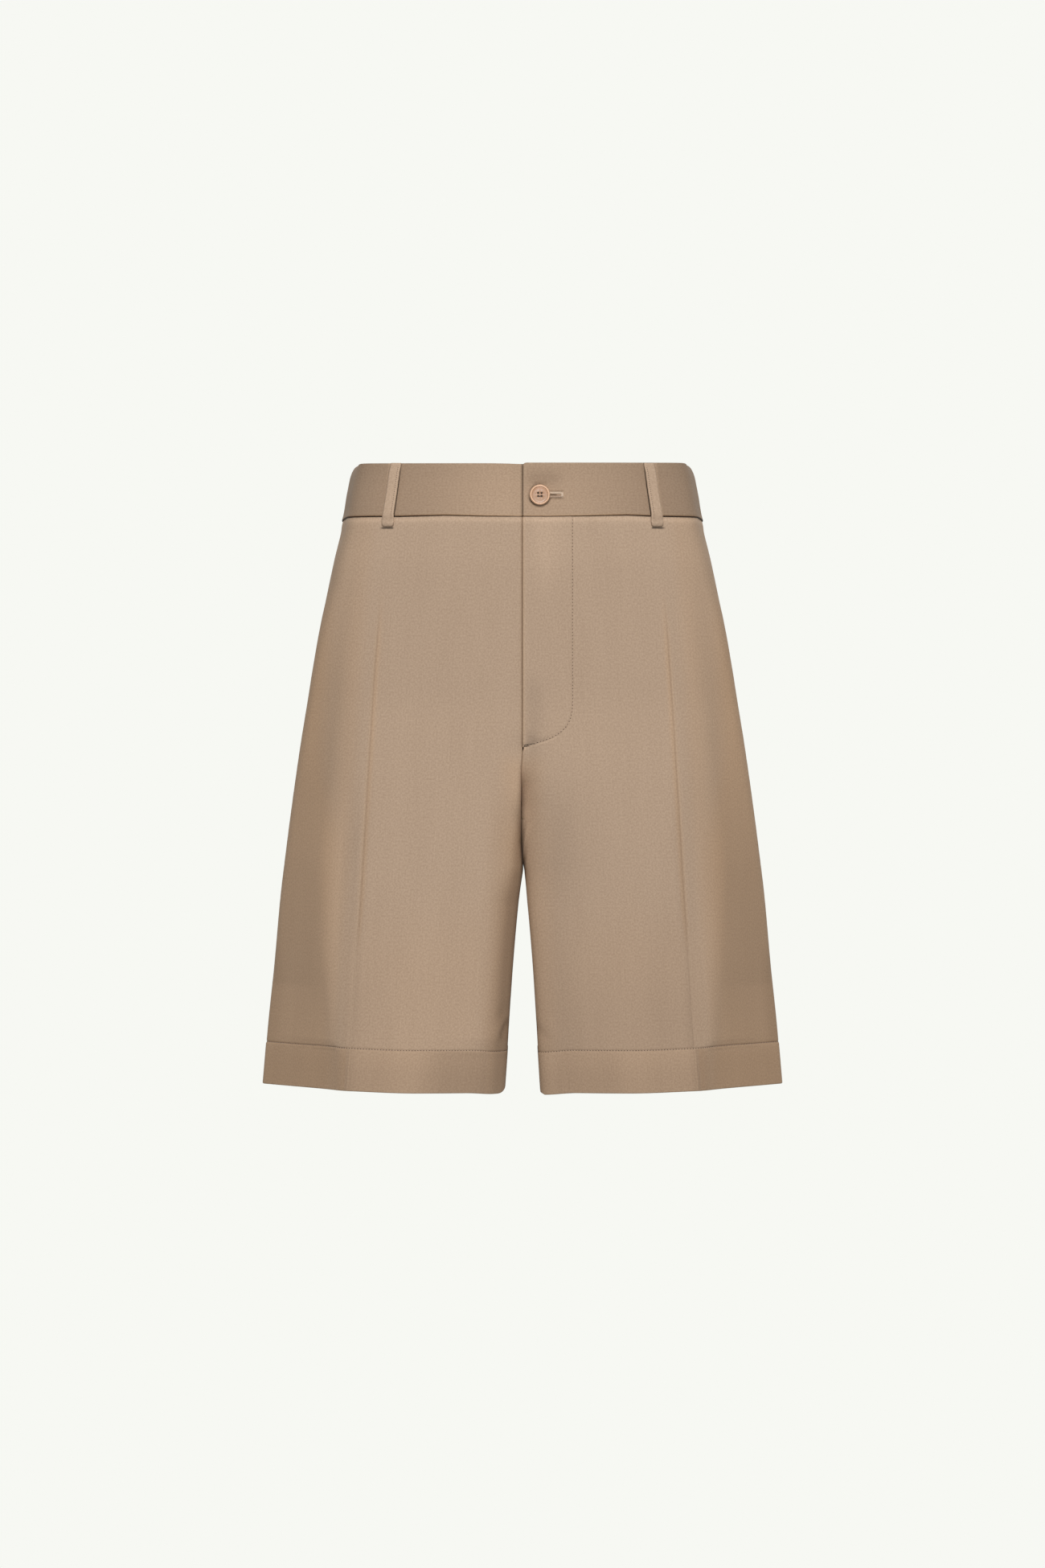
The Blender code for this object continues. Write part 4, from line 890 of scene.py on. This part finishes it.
# ---- belt loops ----
loop = {
    "inset": 0.85, "width": 8.0, "flare": 1.4, "wall": 1.5, "bow": 2.6, "crown": 0.2,
    "top": 21.1, "end": -29.6, "curl": 4.2,         # its end turns under within this height
    "gap": 0.35, "corner": 2.2, "cornerRise": 1.8, "edgeRound": 0.7,
    "arc": 74.0,            # x from the crease to the side that one step of the ring stands for
    # how much lighter each loop is painted where it catches the light
    "tone": {"belt_loop_front_left": 0.07}, "plainTone": 0.13,
    "nodes": {"belt_loop_front_left": ("front", 1.0, "frontCrease"),
              "belt_loop_front_right": ("front", -1.0, "frontCrease"),
              "belt_loop_back_left": ("back", 1.0, "backCrease"),
              "belt_loop_back_right": ("back", -1.0, "backCrease"),
              "belt_loop_centre_back": ("back", 1.0, None)},
}


def makeLoop(name, face, side, line):
    # a folded strip, held at the band's top edge, bowed over the band and turned under below
    top, end = loop["top"], loop["end"]
    rows = spread((top, 0.2), (top - 3.0, 1.2), (-22.0, 1.2), (-27.0, 0.4), (end, 0.12))
    across = spread((-0.5, 0.012), (-0.42, 0.05), (0.42, 0.05), (0.5, 0.012))
    middle = ringSize(line, rows) - loop["inset"] * (rows + 80.0) / 100.0 if line else np.zeros_like(rows)
    width = (loop["width"] + loop["flare"] * ramp(rows, -18.0, -26.0))[:, None]
    x = middle[:, None] + across[None, :] * width
    height = np.broadcast_to(rows[:, None], x.shape)
    crease = ringSize(face + "Crease", height)
    # within the crease the steps follow x; beyond it the arc is nearly straight at first
    step = np.where(x <= crease, 2.0 - x / crease, 1.0 - (x - crease) / loop["arc"])
    base = ringPoints(face, step, height)
    base[..., 0] = x
    normal = outwardNormals(base, face)
    bow = loop["bow"] * ramp(rows, top, top - 8.0) * ramp(rows, end + 2.0, end + 14.0)
    proud = (bandProfile(np.maximum(rows, form["waistSeam"])) + loop["gap"]) * ramp(rows, -25.0, -20.0)
    lift = (loop["gap"] + proud + bow + 0.9 * ramp(rows, -20.0, -25.0))[:, None]
    # the end is a quarter of an ellipse, down to the cloth beneath
    under = np.clip(1.0 - (rows - end) / loop["curl"], 0.0, 1.0)[:, None]
    turned = np.sqrt(np.maximum(1.0 - under ** 2, 0.0))
    corner = np.maximum(np.abs(across) * width - (width / 2 - loop["corner"]), 0.0) / loop["corner"]
    raised = 0.12 * (1.0 - under) * corner ** 2
    edge = (0.5 - np.abs(across))[None, :] * width
    fall = roundEdge(edge, loop["edgeRound"])
    front = lift + loop["wall"] + loop["crown"] * (1.0 - 4.0 * across ** 2)[None, :] - fall
    outer = base + normal * (0.15 + (front - 0.15) * turned - raised)[..., None]
    inner = base + normal * (0.1 + (lift + 0.6 * fall - 0.1) * smoothStep(turned * 1.1) ** 2)[..., None]
    # the strip's lower corners are rounded
    size = loop["cornerRise"]
    up = (size - np.sqrt(np.maximum(size ** 2 - (size * corner.clip(0.0, 1.0)) ** 2, 0.0)))
    for surface in (outer, inner):
        surface[..., 2] += up * smoothStep(under * 1.3)
    # painted light on the loop and along its edges, and painted shade where its end turns under
    tone = loop["tone"].get(name, loop["plainTone"]) + 0.05 * bell(edge, 1.0, 0.5)
    tone = tone - 0.14 * smoothStep(under * 1.2) - 0.5 * ramp(under, 0.72, 1.0)
    mirror = np.array((side, 1.0, 1.0))
    weave = np.stack([x - middle[:, None] + 7.0, height], axis=-1)
    piece = addCloth(name, outer * mirror, inner * mirror, weave, tinted(tone))
    return {"piece": piece, "points": outer * mirror, "normal": normal * mirror}


loops = {name: makeLoop(name, *how) for name, how in loop["nodes"].items()}
print("belt loops made")


# ---- button ----
def tubeFaces(rows, columns):
    # quads between neighbouring rows of points, where each row closes round
    index = np.arange(rows * columns).reshape(rows, columns)
    beside = np.roll(index, -1, axis=1)
    return np.stack([index[:-1], beside[:-1], beside[1:], index[1:]], axis=-1).reshape(-1, 4)


def makeButton(place):
    # A turned disc with a raised rim round a shallow dish.  Each quarter of the dish is a
    # surface between the outline of its hole and its own outline.
    sides, dish, thick, offset = button["sides"], button["dish"], button["thick"], button["pitch"] / 2
    angle = np.linspace(0.0, math.pi / 2, sides // 4 + 1)
    edge = np.linspace(dish, 0.0, 13)[1:]
    outline = np.concatenate([dish * pair(np.cos(angle), np.sin(angle)), pair(0.0, edge),
                              pair(edge[::-1], 0.0)[1:]])
    away = outline - offset
    hole = offset + button["hole"] * away / np.linalg.norm(away, axis=-1, keepdims=True)
    t = np.array([0.0, 0.04, 0.12, 0.3, 0.5, 0.75, 1.0])[:, None, None]
    front = hole + (outline - hole) * t
    radius = np.linalg.norm(front, axis=-1)
    frontY = -thick + 1.0 - 0.1 * (radius / dish) ** 2 + 0.22 * bell(t[..., 0], 0.0, 0.2)
    quarter = np.concatenate([np.stack([front[..., 0], frontY, front[..., 1]], axis=-1)[::-1],
                              np.stack([front[..., 0], 0.0 * radius, front[..., 1]], axis=-1)])
    # the rim's section, as radius and depth, from the dish over the front and the edge to the back
    over = np.array(((dish, 0.9), (6.22, 1.0), (6.36, 0.95), (6.5, 0.6), (6.66, 0.24), (6.9, 0.04),
                     (7.2, 0.0), (7.5, 0.1), (7.8, 0.4), (8.03, 0.9), (button["radius"], 1.35)))
    back = np.array(((8.03, -0.75), (7.7, -0.3), (7.1, -0.03), (6.4, 0.0), (dish, 0.0)))
    rim = np.concatenate([over - np.array((0.0, thick)), back])
    turn = 2 * math.pi * np.arange(sides) / sides
    ring = np.stack([rim[:, :1] * np.cos(turn), rim[:, 1:] + 0.0 * turn, rim[:, :1] * np.sin(turn)], axis=-1)

    grids = [quarter * np.array((a, 1.0, b)) for a in (1, -1) for b in (1, -1)] + [ring]
    starts = np.cumsum([0] + [grid[..., 0].size for grid in grids])
    faces = np.concatenate([tubeFaces(*grid.shape[:2]) + start for grid, start in zip(grids, starts)])
    vertices = np.concatenate([grid.reshape(-1, 3) for grid in grids])
    # the rim is painted lighter and cooler than the dish, the dish in painted shade above, and the groove
    # inside the rim and the holes in the darkest painted shade
    fromAxis = np.hypot(vertices[:, 0], vertices[:, 2])
    fromHole = np.hypot(np.abs(vertices[:, 0]) - offset, np.abs(vertices[:, 2]) - offset)
    inDish = ramp(fromAxis, 6.5, 6.2)
    upper = np.clip(vertices[:, 2] / dish, -1.0, 1.0)
    tone = 0.66 - inDish * (0.88 + 0.14 * upper) - 0.4 * bell(fromAxis, 6.5, 0.25)
    tone = tone - 0.9 * ramp(fromHole, button["hole"] + 0.14, button["hole"] + 0.02)
    piece = addPiece("button_resin_disc", (vertices + place) * mm, faces, buttonFinish, None,
                     tinted(tone, -2.0 * (1.0 - inDish) + inDish * upper))
    working = bmesh.new()
    working.from_mesh(piece.data)
    bmesh.ops.remove_doubles(working, verts=working.verts, dist=1e-6)
    bmesh.ops.recalc_face_normals(working, faces=working.faces)
    working.to_mesh(piece.data)
    working.free()
    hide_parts("button")


seatY = onBand(np.array([button["x"]]), np.array([button["z"]]))[0, 1]
buttonPlace = np.array((button["x"], seatY - button["lift"], button["z"]))
makeButton(buttonPlace)
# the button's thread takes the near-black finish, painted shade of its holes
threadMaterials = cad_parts["button_thread"].data.materials
threadMaterials.clear()
threadMaterials.append(threadAndHoleShadeFinish)
print("button made")


# ---- stitches ----
# each kind of stitch in a line: how far apart, where the first one starts, how long and how wide,
# and how far it stands out and is lifted; the kinds that end in Hole are dark marks of painted shade in
# the needle holes
stitchNames = ("pitch", "start", "length", "width", "rise", "lift")
stitches = {
    "fly": (2.65, 0.0, 1.6, 0.45, 0.3, 0.12), "flyHole": (2.65, 1.325, 0.85, 0.8, 0.22, 0.1),
    "hem": (2.3, 1.15, 1.3, 0.45, 0.3, 0.15), "hemHole": (2.3, 0.0, 0.9, 0.8, 0.2, 0.1),
    "loop": (1.65, 0.0, 1.0, 0.42, 0.25, 0.08), "loopHole": (1.65, 0.825, 0.6, 0.6, 0.15, 0.05),
}
# the threads sewn one by one: in the button's holes, across the lower two, and the fly's tacks
sewing = {
    "holes": {"depth": 0.95, "length": 1.7, "width": 1.6, "rise": 0.8},
    "bar": {"depth": 2.1, "beyond": 1.5, "width": 0.85, "rise": 0.4},
    "tack": {"lift": 0.2, "width": 0.55, "rise": 0.3},
    "tackLines": {"upper": ((9.6, -203.0), (0.6, -204.4)), "lower": ((6.4, -204.9), (0.6, -205.6))},
}


def capsule(dip, rings=5, sides=6):
    # a short thread: sections along -1 to 1 shrink to its ends, which dip into the cloth
    along = np.linspace(-1.0, 1.0, rings)[:, None]
    turn = np.linspace(0.0, 2 * math.pi, sides, endpoint=False)[None, :]
    size = np.sqrt(np.maximum(1.0 - along ** 4, 0.04))
    points = np.stack(np.broadcast_arrays(along, size * np.cos(turn),
                                          size * np.sin(turn) - dip * along ** 2), axis=-1)
    ends = np.arange(rings * sides).reshape(rings, sides)
    caps = [np.array([row[[0, 1, 2, 3]], row[[0, 3, 4, 5]]]) for row in (ends[0], ends[-1][::-1])]
    return points.reshape(-1, 3), np.concatenate([tubeFaces(rings, sides)] + caps)


def addStitches(name, centre, along, outward, length, width, rise, material, dip=1.0):
    # a copy of the capsule at each centre, laid along the seam
    template, quads = capsule(dip)
    along = along / np.linalg.norm(along, axis=-1, keepdims=True)
    outward = outward - along * np.sum(outward * along, axis=-1, keepdims=True)
    outward = outward / np.linalg.norm(outward, axis=-1, keepdims=True)
    aside = np.cross(along, outward)
    frames = np.stack([along * length / 2, aside * width / 2, outward * rise], axis=1)
    vertices = centre[:, None, :] + np.einsum("tk,skc->stc", template, frames)
    faces = quads[None] + (np.arange(len(centre)) * len(template))[:, None, None]
    piece = addPiece(name, vertices * mm, faces, material)


def sewLine(name, kind, points, normals):
    # stitches a pitch apart along a line of points, each along the line and out of the cloth
    size = dict(zip(stitchNames, stitches[kind]))
    walked = runLength(points, 0)
    places = np.arange(size["start"] + size["pitch"] / 2, walked[-1], size["pitch"])

    def at(values, offset=0.0):
        return np.stack([np.interp(places + offset, walked, values[:, k]) for k in range(3)], axis=-1)

    outward = at(normals)
    # the needle holes between the stitches are dark marks of painted shade
    finish = threadAndHoleShadeFinish if kind.endswith("Hole") else threadFinish
    addStitches(name, at(points) + outward * size["lift"], at(points, 0.2) - at(points, -0.2), outward,
                size["length"], size["width"], size["rise"], finish)


def onFront(name, line):
    # points of a front's outer face, and its normals, at each (x, z) of a line
    made = cloth[name]
    heights, points, normals = made["height"][:, -1], [], []
    for x, z in line:
        row = np.interp(-z, -heights, np.arange(len(heights)))
        low, part = int(row), row - int(row)
        ring = made["points"][low] * (1 - part) + made["points"][min(low + 1, len(heights) - 1)] * part
        index = np.arange(len(ring))
        column = np.interp(-x, -ring[:, 0], index)
        points.append([np.interp(column, index, ring[:, k]) for k in range(3)])
        normals.append([np.interp(column, index, made["normal"][low][:, k]) for k in range(3)])
    return np.array(points), np.array(normals)


def fineLine(corners, spacing=0.5):
    # a smooth line through corners, with a point at each spacing along it
    walked = runLength(corners, 0)
    return curveThrough(walked, corners, np.arange(0.0, walked[-1], spacing))


# the thread lies deep in the button's upper holes and runs across between the lower two, in the
# near-black finish of the holes' painted shade
size, halfPitch = sewing["holes"], button["pitch"] / 2
upperHoles = buttonPlace + np.array([(a * halfPitch, -size["depth"], halfPitch) for a in (1, -1)])
addStitches("button_sewing", upperHoles, np.array([(0.0, -1.0, 0.0)] * 2), np.array([(0.0, 0.0, 1.0)] * 2),
            size["length"], size["width"], size["rise"], threadAndHoleShadeFinish, 0.0)
size = sewing["bar"]
lowerMiddle = buttonPlace + np.array([(0.0, -size["depth"], -halfPitch)])
addStitches("button_sewing_bar", lowerMiddle, np.array([(1.0, 0.0, 0.0)]), np.array([(0.0, -1.0, 0.0)]),
            button["pitch"] + size["beyond"], size["width"], size["rise"], threadAndHoleShadeFinish)

flySeam = onFront("front_left", fineLine(flyLine))
sewLine("fly_stitches", "fly", *flySeam)
sewLine("fly_stitch_holes", "flyHole", *flySeam)
size = sewing["tack"]
for name, ends in sewing["tackLines"].items():
    points, normals = onFront("front_left", np.linspace(*np.array(ends), 12))
    way = (points[-1] - points[0])[None]
    addStitches("fly_tack_" + name, points[6:7] + normals[6:7] * size["lift"], way, normals[6:7],
                float(np.linalg.norm(way)), size["width"], size["rise"], threadAndHoleShadeFinish)
for name, made in cloth.items():
    row = int(np.argmin(np.abs(made["height"][:, 0] - form["hemStitch"])))
    sewLine(name + "_hem_holes", "hemHole", made["points"][row], made["normal"][row])
    sewLine(name + "_hem_stitches", "hem", made["points"][row + 1], made["normal"][row])
for name, made in loops.items():
    for edge, part in (("inner", 0.28), ("outer", 0.86)):
        column = int(part * made["points"].shape[1])
        line = made["points"][4:-16, column], made["normal"][4:-16, column]
        sewLine(f"{name}_{edge}_stitches", "loop", *line)
        if edge == "inner":
            sewLine(name + "_stitch_holes", "loopHole", *line)
print("stitches sewn")


# ---- buttonhole ----
buttonhole = {"from": 12.5, "to": 31.2, "z": -4.0, "pitch": 0.5, "reach": 2.7, "slit": 0.35, "thread": 0.5,
              "rise": 0.75, "bar": 2.6, "barThreads": 3, "barGap": 0.2}


def makeButtonhole():
    # two welts of stitches side by side, above and below the slit, and a bar across its end
    z, pitch, length = buttonhole["z"], buttonhole["pitch"], buttonhole["reach"] - buttonhole["slit"]
    welt = np.arange(buttonhole["from"], buttonhole["to"], pitch)
    bar = np.arange(buttonhole["barThreads"]) * pitch + buttonhole["to"] + buttonhole["barGap"]
    offset = buttonhole["slit"] + length / 2
    for name, x, up, long in (("below", welt, -offset, length), ("above", welt, offset, length),
                              ("end", bar, 0.0, 2 * buttonhole["bar"])):
        seat = onBand(x, z + up + 0.0 * x)
        outward = np.broadcast_to(np.array((0.0, -1.0, 0.0)), seat.shape)
        along = np.broadcast_to(np.array((0.0, 0.0, 1.0)), seat.shape)
        # the upper welt and the bar wear the lit buttonhole thread, painted light, and the lower welt the
        # darker sewing thread, painted shade
        finish = threadFinish if name == "below" else litButtonholeThreadFinish
        addStitches("buttonhole_" + name, seat + outward * buttonhole["rise"], along, outward, long,
                    buttonhole["thread"], buttonhole["rise"], finish)


makeButtonhole()
print("buttonhole worked")


# ---- studio ----
studio = {
    "floorZ": -1.02, "radius": 7.0, "cove": 1.2, "wall": 5.0, "dome": 0.5, "sides": 96,
    "backdrop": (0.9301, 0.9387, 0.8963, 1.0), "sky": (1.0, 1.0, 0.98, 1.0), "ambient": 0.19,
    "camera": (0.0, -4.0, -0.2354), "lens": 111.9, "aim": (0.0, 0.0, -0.22),
    # each lamp: its place, how wide it is and its power
    "lamps": {"key": ((0.3, -4.2, 2.6), 1.0, 118.0), "front_fill": ((0.25, -4.6, -0.9), 1.6, 93.0),
              "back_left_light": ((-1.8, 2.2, 1.2), 1.2, 25.0),
              "back_right_light": ((1.8, 2.2, 1.2), 1.2, 25.0)},
}


def addObject(name, data, place=(0.0, 0.0, 0.0), rotation=(0.0, 0.0, 0.0)):
    thing = bpy.data.objects.new(name, data)
    thing.location, thing.rotation_euler = place, rotation
    bpy.context.scene.collection.objects.link(thing)
    return thing


def makeStudio():
    # a round room: a flat floor that sweeps up in a quarter circle into the wall, and a plain ceiling
    bend = np.radians(np.linspace(0.0, 90.0, 13))
    radius, floor, cove, wall = (studio[key] for key in ("radius", "floorZ", "cove", "wall"))
    profile = np.concatenate([
        [(0.01, floor), (radius - cove, floor)],
        pair(radius - cove * (1 - np.sin(bend)), floor + cove * (1 - np.cos(bend))),
        [(radius, wall), (0.01, wall + studio["dome"])]])
    sides = studio["sides"]
    turn = 2 * math.pi * np.arange(sides) / sides
    grid = np.stack([profile[:, :1] * np.cos(turn), profile[:, :1] * np.sin(turn),
                     profile[:, 1:] + 0.0 * turn], axis=-1)
    faces = tubeFaces(*grid.shape[:2])[:, ::-1]
    index = np.arange(grid.shape[0] * sides).reshape(-1, sides)
    caps = [index[0].tolist(), index[-1, ::-1].tolist()]       # they close the middle of floor and ceiling
    mesh = bpy.data.meshes.new("studio_floor")
    mesh.from_pydata(grid.reshape(-1, 3).tolist(), [], faces.tolist() + caps)
    mesh.shade_smooth()
    material, tree = newMaterial("studio_paper")
    fill(tree, tree.nodes["Principled BSDF"], {
        "Base Color": (0.0, 0.0, 0.0, 1.0), "Specular IOR Level": 0.0,
        "Emission Color": studio["backdrop"], "Emission Strength": 1.0})
    mesh.materials.append(material)
    room = addObject("studio_floor", mesh)
    room.visible_diffuse = room.visible_shadow = False      # it is seen and lights nothing


def addLight(name, place, size, power):
    data = bpy.data.lights.new(name, "AREA")
    data.shape, data.size, data.energy = "DISK", size, power
    dx, dy, dz = np.array(studio["aim"]) - np.array(place)
    turn = (math.atan2(math.hypot(dx, dy), -dz), 0.0, math.atan2(dy, dx) - math.pi / 2)
    addObject(name, data, place, turn).visible_camera = False


makeStudio()
scene = bpy.context.scene
scene.world = bpy.data.worlds.new("studio")
scene.world.use_nodes = True
fill(scene.world.node_tree, scene.world.node_tree.nodes["Background"],
     {"Color": studio["sky"], "Strength": studio["ambient"]})
for name, how in studio["lamps"].items():
    addLight(name, *how)
cameraData = bpy.data.cameras.new("camera")
cameraData.lens, cameraData.sensor_width, cameraData.sensor_fit = studio["lens"], 36.0, "AUTO"
scene.camera = addObject("camera", cameraData, studio["camera"], (math.pi / 2, 0.0, 0.0))
scene.view_settings.view_transform = "Standard"
print("studio lit")
